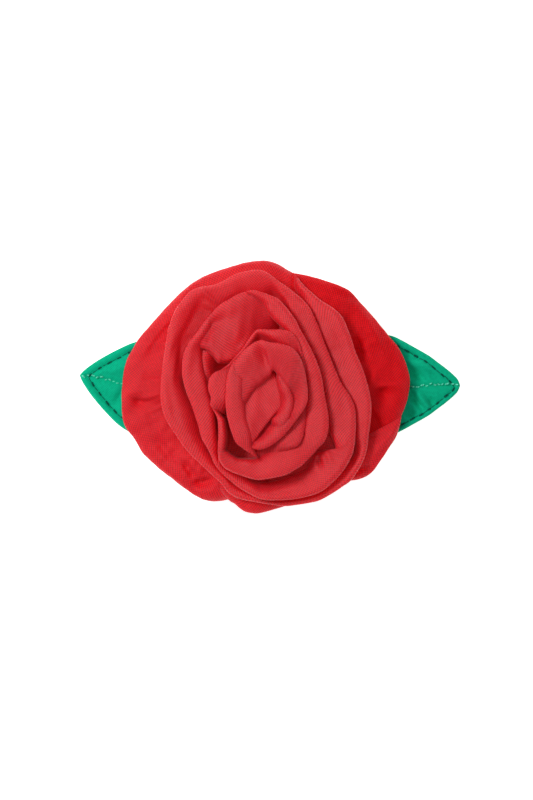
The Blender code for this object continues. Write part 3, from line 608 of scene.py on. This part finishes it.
# the flat heart of the bud: left edge x, y; right edge x, y; height of each edge
HEART = [
    (0.5, 4.8, 1.4, 4.8, 28.9, 28.9), (0.1, 3.6, 1.5, 3.5, 30.2, 30.2), (-1.0, 2.7, 1.6, 2.2, 31.0, 31.0),
    (-2.3, 2.0, 2.2, 0.9, 31.2, 31.2), (-4.0, 0.5, 2.8, -1.2, 31.3, 31.4),
    (-5.4, -1.4, 3.0, -3.2, 31.5, 31.6), (-7.5, -3.6, 3.1, -5.0, 32.0, 31.7),
    (-7.2, -5.6, 1.5, -6.6, 32.3, 31.8), (-6.6, -7.6, 0.2, -8.0, 32.3, 31.8),
    (-5.6, -9.8, -1.3, -9.9, 32.2, 31.8), (-5.1, -12.0, -2.9, -12.1, 32.0, 31.7),
    (-4.5, -13.9, -4.1, -13.9, 31.6, 31.5),
]
BULK = [
    (1.4, 5.2, 6.4, 6.6), (-17.3, 3, -8, 1, 26.4), (-17.2, 9, -8, 2, 26.4),
    (-12, 15, -6, 5, 24.2, 1, 2, 2, 2), (0.5, 1, 1, 1), (-2, 21, -1, 6, 23.6), (12, 13, 3, 3, 22.6),
    (19.5, -3, 4, -2, 22.6), (20, -16, 2, -8, 22.4), (8, -25, 0, -9, 21.5), (-4, -24.5, -3, -10, 19.6),
    (-14, -18, -7, -7, 19), (-17.5, -7, -9, -2, 20.2),
]

BASE_LEFT = [
    (-8.5, -27, -8, -22.5, 18.5, -0.8, -2.2), (-10.5, -28.2, -9.5, -22.5, 18.6, -0.9, -2.4),
    (-13, -28.6, -11.5, -21, 18.6, -1, -2.6), (-15, -28.6, -12.5, -20, 18.6, -1.1, -2.7),
    (-17, -28.1, -13.5, -19, 18.6, -1.2, -2.8), (-20, -26.4, -15, -17.2, 18.6, -1.3, -3),
    (-24, -23.4, -17.5, -15, 18.5, -1.4, -3), (-28, -20.3, -20, -12, 18.4, -1.5, -3),
    (-30, -18.5, -21.5, -10, 18.3, -1.5, -3), (-32, -16.5, -22.5, -8, 18.1, -1.5, -3.2),
    (-33.1, -14.6, -23, -6, 17.9, -1.5, -3.4), (-34.4, -12.4, -23.5, -4.5, 17.7, -1.5, -3.5),
    (-35.9, -10.7, -23.8, -3.2, 17.6, -1.6, -3.6), (-36.9, -8, -23.8, -2, 17.5, -1.7, -3.7),
    (-37.2, -3, -23.8, 0, 17.5, -1.8, -3.8), (-37, 1, -23.6, 2.5, 17.6, -1.8, -3.8),
    (-36.2, 6, -23, 6, 17.8, -1.8, -3.6), (-34.5, 9.5, -22, 9, 18, -1.7, -3.5),
    (-33, 12, -21.5, 11.5, 18.1, -1.6, -3.4), (-30, 15.5, -20.5, 14, 18.2, -1.5, -3.3),
    (-26, 20, -19, 17.5, 18.3, -1.3, -3.2), (-22, 24, -16.5, 20.5, 18.4, -1.1, -3),
    (-18, 27, -14, 22.2, 18.6, -1, -2.8), (-14, 28.8, -11, 22.8, 18.8, -0.9, -2.6),
    (-10, 30.1, -8, 24, 19, -0.9, -2.5), (-6, 31.2, -5, 25, 19.2, -0.9, -2.4),
    (-2, 31.7, -2, 25, 19.4, -0.8, -2.2), (0, 31.5, 0, 25, 19.4, -0.7, -2),
    (2, 30.8, 2, 24, 19.3, -0.6, -1.8), (4, 29.6, 4, 23, 19.1, -0.5, -1.6),
    (5.6, 28.7, 5.5, 22, 18.9, -0.5, -1.5), (7.5, 27, 7, 21, 18.6, -0.5, -1.5),
]
BASE_RIGHT = [
    (3.8, 28.6, 5, 23.5, 18.2, -1, -2.6), (5.6, 28.6, 7, 22.5, 18.3, -1.2, -3),
    (10, 27.8, 9.5, 20.5, 18.3, -2, -4.2), (15, 26.3, 12, 17.5, 18.2, -2.4, -4.9),
    (18, 25.2, 13.5, 15.5, 18.1, -2.6, -5), (20, 24.1, 15, 14, 18, -2.6, -5.1),
    (22, 22, 16, 12.5, 17.9, -2.6, -5.2), (26, 17.5, 17.5, 10, 17.8, -2.5, -5.1),
    (30, 12.6, 19, 7, 17.8, -2.4, -5), (32.1, 10.1, 19.8, 5.2, 17.8, -2.3, -4.8),
    (34, 6.2, 20.6, 3, 17.8, -2.2, -4.6), (35, 2.5, 21, 1, 17.8, -2.2, -4.6),
    (35, 0, 21.4, -1, 17.9, -2.2, -4.6), (34.2, -4, 21.6, -4, 18, -2, -4.4),
    (33, -7, 21.6, -6.5, 18.1, -1.8, -4), (32.4, -9, 21.4, -8.5, 18.1, -0.8, -2.4),
    (31.2, -12, 21, -10.5, 17.8, 0, -0.4), (29.3, -14.8, 20.5, -12.5, 17.6, 0.2, 0.2),
    (27.2, -17.5, 19.8, -14.5, 17.4, 0.2, 0.3), (24.8, -20, 18.8, -16.5, 17.3, 0.1, 0.2),
    (21.5, -21.8, 16.5, -19.5, 17.2, -0.2, -0.4),
]
RIGHT_LOBE = [
    (32.9, -7.4, 25.2, -11.6, 19.7, -0.1, -0.3), (32.5, -9.4, 24.4, -12.6, 20.2, 0.1, 0.1),
    (31.8, -12, 23.4, -13.2, 20.4, 0.2, 0.5), (30, -15, 22, -14, 20.4, 0.2, 0.6),
    (28, -18, 20.4, -15.2, 20.2, 0.2, 0.6), (26, -20.8, 18.8, -16.8, 19.8, 0.1, 0.4),
    (24.2, -22.4, 17.8, -18, 19.3, 0, 0), (21.5, -23.3, 16.5, -19.5, 18.8, -0.2, -0.4),
    (18.5, -23.6, 15, -20.5, 18.4, -0.3, -0.8),
]
BASE_BOTTOM = [
    (-13.5, -22.5, -10.2, -19.6, 20.6, 0, 0.4), (-12.4, -25.8, -8.6, -21, 20.4, 0, 0.4),
    (-11.2, -27.4, -7.8, -21.8, 20.2, -0.2, 0), (-10, -28.6, -7, -22.3, 20, -0.4, -0.6),
    (-8.8, -29.3, -6.2, -22.7, 19.8, -0.5, -1), (-7.4, -30.5, -5.4, -23, 19.7, -0.6, -1.3),
    (-6, -31.3, -4.4, -23.2, 19.6, -0.7, -1.5), (-4, -31.7, -3.4, -23.4, 19.6, -0.7, -1.6),
    (-2, -31.5, -2.2, -23.6, 19.6, -0.6, -1.6), (0, -31, -0.9, -23.6, 19.6, -0.5, -1.4),
    (2, -30.4, 0.6, -23.6, 19.6, -0.4, -1.2), (4.5, -29.6, 2.6, -23.4, 19.6, -0.3, -1),
    (8, -28.4, 5.2, -23, 19.6, -0.2, -0.8),
]

# Creases and puckers: x, y, heading in degrees, length, width, height, sharpness of the left side
LEFT_DENTS = [
    (-32.8, -3.1, -12, 1.3, 2.6, -2.6, 0.1), (-30.4, -3.3, 8, 2.0, 1.6, -0.8, 0.25),
    (-34.5, -6.5, -50, 3.0, 2.6, -0.9, 0.5), (-35.2, -1.4, 35, 1.8, 1.4, 0.9, 0.6),
    (-31, -8, -60, 4, 1.6, 0.7, 0.6), (-28.4, -11, -62, 5, 1.2, -0.8, 0.25),
    (-19.6, -20.8, -52, 3.0, 1.2, -1.7, 0.1), (-17.2, -23.3, 12, 2.4, 1.8, -2.0, 0.1),
    (-12.6, -24.8, -50, 2.5, 0.5, 1.0, 0.5), (-22, -20.3, -58, 3, 0.8, 0.8, 0.4),
    (-30, 9, 55, 6, 1.6, -0.8, 0.25), (-26.5, 14, 48, 6, 0.9, -0.6, 0.25),
    (-32.5, 3, 75, 5, 1.0, 0.5, 0.4), (-20, 23.6, 40, 4, 1.2, -0.6, 0.3),
    (-6, 29.6, 14, 4, 1.0, -0.5, 0.3), (-25, -17, -48, 6, 1.2, -0.8, 0.25),
    (-24.5, -22, -40, 4, 0.8, 0.5, 0.4),
]
RIGHT_DENTS = [
    (23.2, 10, -68, 2.2, 2.2, -2.6, 0.08), (26.5, 12.5, -62, 5, 1.3, 1.0, 0.5),
    (27.8, -0.5, 20, 1.5, 2.8, -2.8, 0.08), (25.6, 2.2, 62, 2.4, 1.2, 1.3, 0.5),
    (31.5, 0.6, 10, 2.2, 1.4, 0.8, 0.6), (25.8, -6.5, -60, 3, 1.2, -1.2, 0.3),
    (25, 20, -45, 4, 1.4, -1.0, 0.25), (17.5, 23.6, -20, 3.5, 1.0, -0.8, 0.25),
    (31, 5, -80, 5, 1.0, -0.7, 0.3),
]
LOBE_DENTS = [
    (27.5, -16.5, 50, 3.5, 1.0, -0.7, 0.25), (22.5, -20.5, 20, 2.5, 0.8, -1.0, 0.25),
    (29.5, -12.5, 45, 3.0, 0.8, 0.4, 0.4),
]
OUTER_DENTS = [
    (12.5, -18.4, -72, 1.8, 0.9, -1.4, 0.4), (14.6, -17.2, -66, 2.0, 0.7, 0.5, 0.6),
    (18.7, -13.9, 84, 1.5, 0.5, 0.45, 1.0), (9.5, 18, -60, 5, 0.8, -0.3, 0.5),
    (-24.5, -4, 100, 7, 1.0, -0.25, 0.6), (-19, 6, 84, 4, 0.7, -0.3, 0.6),
    (-15.4, 22.8, -42, 3.2, 0.6, 0.6, 0.8), (-20.3, 16, 62, 5.5, 1.6, -0.9, 0.3),
    (-22.9, 6.5, 84, 4.5, 0.9, -0.8, 0.3), (-24.2, 17.5, 58, 4, 0.6, 0.3, 1.0),
    (3.2, 24.4, -48, 4, 0.7, -0.5, 0.4), (17.5, 12, -66, 6, 0.9, -0.3, 0.4),
    (18.5, -5, -80, 5, 1.0, -0.3, 0.5), (5, -26, 8, 6, 0.8, -0.4, 0.4),
]
PANEL_DENTS = [
    (-14.2, 16.4, -12, 2.2, 1.0, -0.5, 1.0), (-12, 13.9, 8, 4.5, 1.0, 0.35, 0.4),
    (-5, 18.5, -35, 5, 1.1, -0.3, 0.5), (-8, 11, 35, 4, 0.8, -0.3, 0.5),
    (-15.6, 12.6, 70, 1.6, 0.5, -0.4, 0.4), (-10, 17.5, 20, 4, 0.8, -0.25, 0.4),
]
TURN_5_DENTS = [
    (-1.1, 8.0, -69, 3.2, 1.9, -1.3, 0.08), (3.6, 5.5, -70, 3.5, 0.9, -0.35, 0.4),
    (-5, 5, 60, 3, 0.7, -0.2, 0.5),
]


def heart_pad(name, rows, thick, seed):
    """A soft flat piece between two edges: rows of left edge, right edge and their heights."""
    rows, along = smooth_rows(rows, STATION_SPACING)
    across = np.linspace(-1, 1, 25)
    rounding, relief, gap = 0.7, 0.12, 0.01
    points, uvs = [], []
    for (xa, ya, xb, yb, za, zb), u in zip(rows, along):
        share = (across + 1) / 2
        x, y = xa + (xb - xa) * share, ya + (yb - ya) * share
        width = math.hypot(xb - xa, yb - ya)
        edge = np.minimum(1, (1 - np.abs(across)) * width / 2 / rounding)
        bulge = np.sqrt(1 - (1 - edge) ** 2)
        top = za + (zb - za) * share - 0.5 * thick * (1 - bulge)
        top = top + relief * ripple(x * 0.5, y * 0.3, seed)
        low = za + (zb - za) * share - 0.5 * thick * (1 + bulge) - gap
        v = across * width / 2
        points.append(np.column_stack([np.r_[x, x[::-1]], np.r_[y, y[::-1]], np.r_[top, low[::-1]]]))
        uvs.append(np.column_stack([np.full(2 * len(across), u), np.r_[v, v[::-1]]]) / UV_UNIT)
    widest = np.hypot(rows[:, 2] - rows[:, 0], rows[:, 3] - rows[:, 1]).max()
    mesh = new_mesh(name, np.concatenate(points), lofted(len(rows), 2 * len(across)), np.concatenate(uvs))
    return mesh, (float(widest * MM), float(along[-1] * MM))


ROSE = [
    # piece, material, nodes it stands for, rows, seed, fold thickness, creases
    ("base_petal_left_cloth", petal_base, ["base_petal_left"], BASE_LEFT, 11, 2.2, LEFT_DENTS),
    # the right base petal wears the darker petal cloth: painted shade
    ("base_petal_right_cloth", petal_painted_shade, ["base_petal_right"], BASE_RIGHT, 12, 2.2, RIGHT_DENTS),
    ("base_petal_right_lobe_cloth", petal_base, ["base_petal_right"], RIGHT_LOBE, 16, 1.3, LOBE_DENTS),
    ("base_petal_bottom_cloth", petal_base, ["base_petal_bottom"], BASE_BOTTOM, 13, 1.6, ()),
    ("turns_1_and_2_cloth", petal, ["rose_turn_1_outer", "rose_turn_2"], OUTER_TURNS, 1, 0.95, OUTER_DENTS),
    ("turn_3_panel_cloth", petal, ["rose_turn_3"], PANEL, 3, 0.8, PANEL_DENTS),
    ("turn_3_band_cloth", petal, ["rose_turn_3"], BAND, 4, 0.95, ()),
    ("turn_3_pleat_cloth", petal, ["rose_turn_3"], PLEAT, 5, 0.8, ()),
    ("turn_4_fold_cloth", petal, ["rose_turn_4"], SMALL_FOLD, 6, 0.8, ()),
    ("turn_4_cloth", petal, ["rose_turn_4"], TURN_4, 7, 0.85, ()),
    ("turn_5_cloth", petal, ["rose_turn_5"], TURN_5, 8, 0.9, TURN_5_DENTS),
    ("turn_5_left_cloth", petal, ["rose_turn_5"], TURN_5_LEFT, 14, 0.8, ()),
    ("bud_crescent_cloth", petal, ["rose_bud"], CRESCENT, 9, 0.8, ()),
]


for name, cloth, nodes, rows, seed, thick, creases in ROSE:
    mesh, flat = strip(name, rows, seed, thick=thick, sculpt=creases, wave=1.0 if cloth is petal else 2.0)
    dress(name, mesh, cloth, "petal_fabric", *nodes)
mesh, flat = heart_pad("bud_heart_cloth", HEART, 0.9, 10)
dress("bud_heart_cloth", mesh, petal, "petal_fabric", "rose_bud")
mesh, flat = strip("roll_core_cloth", BULK, 15, thick=1.2, closed=True)
dress("roll_core_cloth", mesh, petal, "petal_fabric", "rose_turn_4")

# ---------------------------------------------------------------------------------------------
# Leaves: two layers sewn face to face and turned, topstitched round the edge, with a sewn vein
# ---------------------------------------------------------------------------------------------

LEAF_LENGTH = 42
LEAF_ROOT = [(17, 12.4), (23, 13.2), (31, 12), (38, 8.5), (42, 4)]
LEAF_WIDTHS = {
    # distance from the tip, half width
    "left": [(0, 0), (0.8, 1.3), (3, 3.7), (5, 5.5), (8, 7.9), (12, 10.6)] + LEAF_ROOT,
    "right": [(0, 0), (0.6, 1.5), (1.7, 2.7), (3.7, 4.4), (5.7, 5.9), (7.7, 7.4), (11.7, 9.7),
              (15, 11.5)] + LEAF_ROOT,
}
LEAF_MIDDLE = 13.55  # height of the seam between the two layers
DROOP_FROM = 14  # distance from the tip where a leaf starts to hang
Leaf = namedtuple("Leaf", "x y heading pitch bend upper lower droop seed")
LEAVES = {
    # tip; heading in degrees; stitch pitch; sideways bend of the vein; inset of the stitches on each side;
    # slope of the hanging tip; added to the seeds
    "left": Leaf(-47.75, 3.0, -10.5, 2.9, 0.35, 2.0, 1.9, 0, 0),
    "right": Leaf(47.75, 0.4, 180.0, 2.6, -0.45, 1.2, 1.8, 0.13, 1),
}
LEAF_CREASES = {
    # distance from the tip, distance from the vein, heading, length, width, height
    "left": [(9.5, 3.6, 25, 4, 1.3, 0.6), (8.5, -4.5, -20, 4, 1.4, -0.6), (5, 1.5, 50, 2, 0.8, 0.35),
             (10.8, -3.5, 70, 3, 0.9, -0.8)],
    "right": [(11.2, -3.0, -40, 2.6, 1.0, -1.9), (9.4, -5.2, -38, 4, 1.2, 1.0),
              (11.2, 3.4, -52, 3.4, 0.9, -1.6), (9.2, 4.2, -50, 3.4, 0.9, 1.0),
              (7.2, -2.6, -35, 2.2, 0.8, -0.7), (7.0, 4.4, -48, 2.6, 0.8, -1.0),
              (5.0, -3.2, -32, 2.5, 0.6, 0.5), (12.4, -7.5, -24, 2.5, 1.0, -1.0),
              (12.2, 7.0, -40, 2.4, 1.0, -1.4)],
}


def leaf_width(side, s):
    """Half width of a leaf at a distance s from its tip."""
    rows, _ = smooth_rows([(0, -1e-3)] + LEAF_WIDTHS[side][1:], 0.2)
    return np.interp(s, rows[:, 0], rows[:, 1])


def to_leaf(side, s, t):
    """Place of a leaf point that is s from the tip along the vein and t across it."""
    leaf = LEAVES[side]
    c, n = math.cos(math.radians(leaf.heading)), math.sin(math.radians(leaf.heading))
    return leaf.x + s * c - t * n, leaf.y + s * n + t * c


def edge_line(side, inset, count=400):
    """Half outline of the leaf moved inwards: distances from the tip and from the vein."""
    s = np.linspace(0.02, LEAF_LENGTH, count)
    w = leaf_width(side, s)
    slope = np.gradient(w, s)
    norm = np.hypot(1, slope)
    a, b = s + inset * slope / norm, w - inset / norm
    keep = b > 0
    return a[keep], b[keep]


def leaf_height(side, s, t):
    """Half thickness of the puffed leaf, and how far its middle lies out of flat."""
    leaf = LEAVES[side]
    w = leaf_width(side, s)
    slope = (leaf_width(side, s + 0.1) - leaf_width(side, np.maximum(s - 0.1, 0))) / 0.2
    inset = np.where(t > 0, leaf.upper, leaf.lower)
    depth = np.maximum((w - np.abs(t)) / np.hypot(1, slope), 0)
    depth = np.minimum(depth, s * 0.8)
    seam = np.abs(depth - inset)
    vein = np.abs(t)
    rounded = np.clip(depth / 0.7, 0, 1)
    edge = 0.42 * np.sqrt(rounded * (2 - rounded))
    swell = np.clip((depth - inset) / 2.5, 0, 1) * np.clip(vein / 2.5, 0, 1)
    half = edge + 0.42 * swell + 0.16 * np.exp(-((depth - 0.9) / 0.6) ** 2)
    pucker = ripple(s * 2.2 / leaf.pitch, t * 0.25, 31 + leaf.seed)
    half -= (0.24 + 0.07 * np.cos(TURN * s / leaf.pitch)) * np.exp(-(seam / 0.42) ** 2)
    half -= 0.3 * np.exp(-(vein / 0.45) ** 2) * np.clip(s / 1.5, 0, 1)
    half += 0.05 * pucker * np.exp(-(np.minimum(seam, vein) / 1.3) ** 2)
    middle = 0.1 * ripple(s * 0.12, t * 0.12, 33 + leaf.seed)
    middle = middle - leaf.droop * np.maximum(DROOP_FROM - s, 0)
    for a, b, heading, long, wide, lift in LEAF_CREASES[side]:
        p, q = in_axes(s - a, t - b, heading)
        middle = middle + lift * np.exp(-((p / long) ** 2) - (q / wide) ** 2) * np.clip(depth / 2, 0, 1)
    return np.maximum(half, 0.02), middle


def leaf_mesh(side, layer):
    """One layer of the leaf as a closed skin: the front lies above the seam and the back below it."""
    s = np.concatenate([np.linspace(0.02, 3, 26)[:-1], np.linspace(3, LEAF_LENGTH, 150)])
    t = np.sin(np.linspace(-1, 1, 71) * math.pi / 2)
    grid_s, grid_t = np.meshgrid(s, t, indexing="ij")
    across = grid_t * leaf_width(side, grid_s)
    half, middle = leaf_height(side, grid_s, across)
    x, y = to_leaf(side, grid_s, across)
    sign = 1 if layer == "front" else -1
    outer = LEAF_MIDDLE + middle + sign * half
    inner = LEAF_MIDDLE + middle + sign * np.minimum(0.02, half * 0.5)
    rows, columns = grid_s.shape
    top = np.column_stack([x.ravel(), y.ravel(), outer.ravel()])
    low = np.column_stack([x.ravel(), y.ravel(), inner.ravel()])
    faces = []
    for i in range(rows - 1):
        for j in range(columns - 1):
            a, b = i * columns + j, (i + 1) * columns + j
            quad = (a, b, b + 1, a + 1)
            faces.append(quad)
            faces.append(tuple(k + rows * columns for k in quad[::-1]))
    ring = list(range(columns))
    ring += [i * columns + columns - 1 for i in range(1, rows)]
    ring += [(rows - 1) * columns + j for j in range(columns - 2, -1, -1)]
    ring += [i * columns for i in range(rows - 2, 0, -1)]
    for a, b in zip(ring, ring[1:] + ring[:1]):
        faces.append((a, b, b + rows * columns, a + rows * columns))
    uv = np.column_stack([grid_s.ravel(), across.ravel()]) / UV_UNIT
    points, uvs = np.concatenate([top, low]), np.concatenate([uv, uv])
    return outward(new_mesh(f"leaf_{side}_{layer}_cloth", points, faces, uvs))


def tube(path, radius, sides=10, ends=True):
    """Points, faces and UVs of a thread along a path in millimetres; it tapers at both ends."""
    path = np.asarray(path, float)
    tangent = tangents(path)
    side = np.cross(tangent, (0, 0, 1))
    side /= np.maximum(np.linalg.norm(side, axis=1)[:, None], 1e-6)
    up = np.cross(side, tangent)
    along = distances(path)
    reach = np.minimum(along, along[-1] - along)
    size = radius * np.sqrt(np.clip(reach / radius, 0.05, 1)) if ends else np.full(len(path), radius)
    angle = np.linspace(0, TURN, sides, endpoint=False)
    points = path[:, None] + size[:, None, None] * (
        np.cos(angle)[None, :, None] * side[:, None] + np.sin(angle)[None, :, None] * up[:, None])
    uvs = np.stack(np.broadcast_arrays(along[:, None], angle[None] * radius), axis=-1) / UV_UNIT
    return points.reshape(-1, 3), lofted(len(path), sides, turned=True), uvs.reshape(-1, 2)


def merged(name, parts):
    """One mesh from the points, faces and UVs of several tubes."""
    points, faces, uvs, start = [], [], [], 0
    for p, f, uv in parts:
        points.append(p)
        uvs.append(uv)
        faces += [tuple(k + start for k in face) for face in f]
        start += len(p)
    return outward(new_mesh(name, np.concatenate(points), faces, np.concatenate(uvs)))


def stitch(side, a, b, radius, lift=0.1):
    """One stitch from leaf point a to b: it rises from its hole, lies on the cloth and dives again."""
    steps = np.linspace(0, 1, 9)
    s, t = a[0] + (b[0] - a[0]) * steps, a[1] + (b[1] - a[1]) * steps
    half, middle = leaf_height(side, s, t)
    x, y = to_leaf(side, s, t)
    bow = np.sin(steps * math.pi) ** 0.5 * (lift + radius) - 0.12
    return tube(np.column_stack([x, y, LEAF_MIDDLE + middle + half + bow]), radius)


def topstitch(side):
    """Short stitches that pull tight at their holes, joined by the thread where it sinks into the seam."""
    leaf = LEAVES[side]
    pitch = leaf.pitch
    (a, b), (c, d) = edge_line(side, leaf.upper), edge_line(side, leaf.lower)
    line = np.concatenate([np.column_stack([a[::-1], b[::-1]]), np.column_stack([c, -d])])
    along = distances(line)
    rng = np.random.default_rng(41 + leaf.seed)
    parts, at = [], 0.5
    while at + pitch < along[-1]:
        knot = rng.uniform(1.0, 1.6)
        ends = []
        for place in (at, at + knot, at + pitch * 0.97):
            s, t = np.interp(place, along, line[:, 0]), np.interp(place, along, line[:, 1])
            ends.append((s, t + rng.uniform(-0.18, 0.18)))
        if min(s for s, _ in ends) > 1.2:
            parts.append(stitch(side, ends[0], ends[1], rng.uniform(0.2, 0.26)))
            parts.append(stitch(side, ends[1], ends[2], 0.1, 0.06))
        at += pitch * rng.uniform(0.94, 1.06)
    return merged(f"leaf_{side}_topstitch_thread", parts)


def vein(side):
    """Slack stitches of pale thread on both sides of the vein, so that it shows as short flecks."""
    leaf = LEAVES[side]
    rng = np.random.default_rng(43 + leaf.seed)
    parts, at = [], 0.6
    while at < LEAF_LENGTH - 6:
        long = rng.uniform(0.5, 0.95)
        offset = leaf.bend * math.sin(at / 9 * math.pi) + rng.uniform(-0.26, 0.26)
        slant = rng.uniform(-0.2, 0.2)
        start, end = (at, offset - slant), (at + long, offset + slant)
        parts.append(stitch(side, start, end, rng.uniform(0.13, 0.2), 0.22))
        start, end = (at + long * 0.8, offset + slant), (at + long + 0.5, offset * 0.3)
        parts.append(stitch(side, start, end, 0.06, -0.03))
        at += long + rng.uniform(0.25, 0.6)
    return merged(f"leaf_{side}_vein_thread", parts)


for side in LEAVES:
    piece, node = f"leaf_{side}", f"{side}_leaf"
    for layer in ("front", "back"):
        mesh = leaf_mesh(side, layer)
        leaf = dress(f"{piece}_{layer}_cloth", mesh, leaf_cloth[side], "leaf_fabric", f"{node}_{layer}_panel")
    dress(f"{piece}_topstitch_thread", topstitch(side), dark_thread, "dark_thread", f"{node}_edge_thread")
    dress(f"{piece}_vein_thread", vein(side), pale_thread, "pale_thread", f"{node}_vein_thread")

# ---------------------------------------------------------------------------------------------
# Backing discs, strap and clip
# ---------------------------------------------------------------------------------------------


def lathe_disc(node, name, cloth, slot, seed):
    """A cut disc of cloth: soft rounded edge, slightly uneven outline and face."""
    low, high = (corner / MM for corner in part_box(node))
    centre, radius = (low + high) / 2, (high.x - low.x) / 2
    thick = high.z - low.z
    profile = [(r, high.z - centre.z) for r in np.linspace(0.4, radius - 0.6 * thick, 24)]
    profile += [(radius - 0.5 * thick * (1 - math.sin(a)), 0.5 * thick * math.cos(a))
                for a in np.linspace(0.3, math.pi - 0.3, 7)]
    profile += [(r, low.z - centre.z) for r in np.linspace(radius - 0.6 * thick, 0.4, 24)]
    turns = np.linspace(0, TURN, 144, endpoint=False)
    points, uvs = [], []
    for a in turns:
        uneven = 1 + 0.004 * ripple(np.array(math.cos(a)) * 4, np.array(math.sin(a)) * 4, seed)
        for r, z in profile:
            x, y = centre.x + r * uneven * math.cos(a), centre.y + r * uneven * math.sin(a)
            uneven_face = 0.98 + 0.02 * float(ripple(np.array(x * 0.3), np.array(y * 0.3), seed))
            points.append((x, y, centre.z + z * uneven_face))
            uvs.append((x / UV_UNIT, y / UV_UNIT))
    count, faces = len(profile), []
    for i in range(len(turns)):
        a, b = i * count, (i + 1) % len(turns) * count
        faces += [(a + j, b + j, b + j + 1, a + j + 1) for j in range(count - 1)]
    faces.append(tuple(i * count for i in range(len(turns))))
    faces.append(tuple(i * count + count - 1 for i in range(len(turns))))
    piece = dress(name, outward(new_mesh(name, points, faces, uvs)), cloth, slot, node)


lathe_disc("felt_backing_disc", "felt_backing_disc_cloth", felt, "felt", 51)
lathe_disc("sewing_base_disc", "sewing_base_disc_cloth", canvas, "canvas", 52)


def keeper_strap():
    """A felt strap glued to the disc on both sides of the upper arm and passing under the arm."""
    low, high = (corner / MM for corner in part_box("clip_keeper_strap"))
    thick, top = 0.8, high.z - 0.4
    side = 5.2  # where the strap turns down beside the arm
    half = [(high.y, top), (side + 2.2, top), (side + 1.0, top - 0.5), (side + 0.1, low.z + 1.0),
            (side - 1.2, low.z + 0.4)]
    path = half + [(-y, z) for y, z in reversed(half)]
    line, _ = line_2d(path, 90)
    normal = normals(tangents(line))
    width = high.x - low.x
    section = []
    for a in np.linspace(0, TURN, 40, endpoint=False):
        c, n = math.cos(a), math.sin(a)
        x, d = math.copysign(abs(c) ** 0.35, c), math.copysign(abs(n) ** 0.5, n)
        section.append((x * width / 2, d * thick / 2))
    points, uvs = [], []
    for i, ((y, z), (ny, nz)) in enumerate(zip(line, normal)):
        taper = 1 if 1 < i < len(line) - 2 else 0.8
        for x, d in section:
            points.append(((low.x + high.x) / 2 + x * taper, y + ny * d * taper, z + nz * d * taper))
            uvs.append((x / UV_UNIT, i / 30))
    mesh = new_mesh("clip_keeper_strap_felt", points, lofted(len(line), len(section), turned=True), uvs)
    dress("clip_keeper_strap_felt", outward(mesh), felt, "felt", "clip_keeper_strap")


keeper_strap()


def spring():
    """Round wire: a leg under the upper tab, the coil round the pin, and a leg on the lower tab."""
    x0, z0, radius, turns, half = 9.0, 6.2, 1.75, 4.5, 1.9
    points = [(19.0, -half - 0.2, 9.1), (14.0, -half - 0.2, 8.7), (11.0, -half - 0.1, 8.25)]
    steps = int(turns * 28)
    for i in range(steps + 1):
        a = math.pi / 2 + TURN * turns * i / steps
        points.append((x0 + radius * math.cos(a), -half + 2 * half * i / steps, z0 + radius * math.sin(a)))
    points += [(11.0, half + 0.1, 4.2), (14.0, half + 0.2, 3.75), (19.0, half + 0.2, 2.6)]
    path = smooth_line(points, 0.25)
    mesh = merged("torsion_spring_wire", [tube(path, 0.4, 14, ends=False)])
    wire = add("torsion_spring_wire", mesh, body=None, material=nickel)
    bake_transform(wire)
    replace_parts(wire, "torsion_spring")


spring()

for node in ("clip_upper_arm", "clip_lower_arm", "hinge_pin"):
    mesh = bpy.data.objects[node].data
    mesh.materials.clear()
    mesh.materials.append(nickel)

# ---------------------------------------------------------------------------------------------
# Floor, light and camera
# ---------------------------------------------------------------------------------------------


def studio():
    """A white floor, white surroundings and three soft lamps aimed at the middle of the flower."""
    floor_mesh = bpy.data.meshes.new("floor")
    far = 3
    corners = [(-far, -far, 0), (far, -far, 0), (far, far, 0), (-far, far, 0)]
    floor_mesh.from_pydata(corners, [], [(0, 1, 2, 3)])
    floor = add("floor", floor_mesh, body=None)
    floor_material, _, shader = material("floor_white", (0.93, 0.93, 0.93), 0.9)
    shader.inputs["Emission Color"].default_value = (1, 1, 1, 1)
    shader.inputs["Emission Strength"].default_value = 0.8
    shader.inputs["Specular IOR Level"].default_value = 0.1
    floor_mesh.materials.append(floor_material)
    world = bpy.data.worlds.new("studio")
    world.use_nodes = True
    background = world.node_tree.nodes["Background"]
    background.inputs["Color"].default_value = (1, 1, 1, 1)
    background.inputs["Strength"].default_value = 0.26
    bpy.context.scene.world = world
    aim = Vector((0, 0, 0.02))
    for name, place, size, power in (
        ("key", (-0.46, 0.3, 0.85), 0.28, 4.7),
        ("fill", (-0.25, -0.6, 0.8), 0.7, 0.5),
        ("top", (0, 0.1, 1.1), 0.6, 1.4),
    ):
        data = bpy.data.lights.new(name, "AREA")
        data.shape = "DISK"
        data.size = size
        data.energy = power
        lamp = bpy.data.objects.new(name, data)
        lamp.location = place
        lamp.rotation_euler = (aim - Vector(place)).to_track_quat("-Z", "Y").to_euler()
        bpy.context.scene.collection.objects.link(lamp)
    bpy.context.scene.view_settings.view_transform = "Standard"


def camera():
    """A long lens straight above: a field of 0.2 m at the height of the plane."""
    data = bpy.data.cameras.new("camera")
    field, distance, plane = 0.2, 2.4, 0.022
    data.sensor_width = 36
    data.lens = 36 * distance / field
    data.clip_start, data.clip_end = 0.05, 10
    cam = bpy.data.objects.new("camera", data)
    cam.location = (-0.000875, -0.00325, plane + distance)
    bpy.context.scene.collection.objects.link(cam)
    bpy.context.scene.camera = cam


studio()
camera()
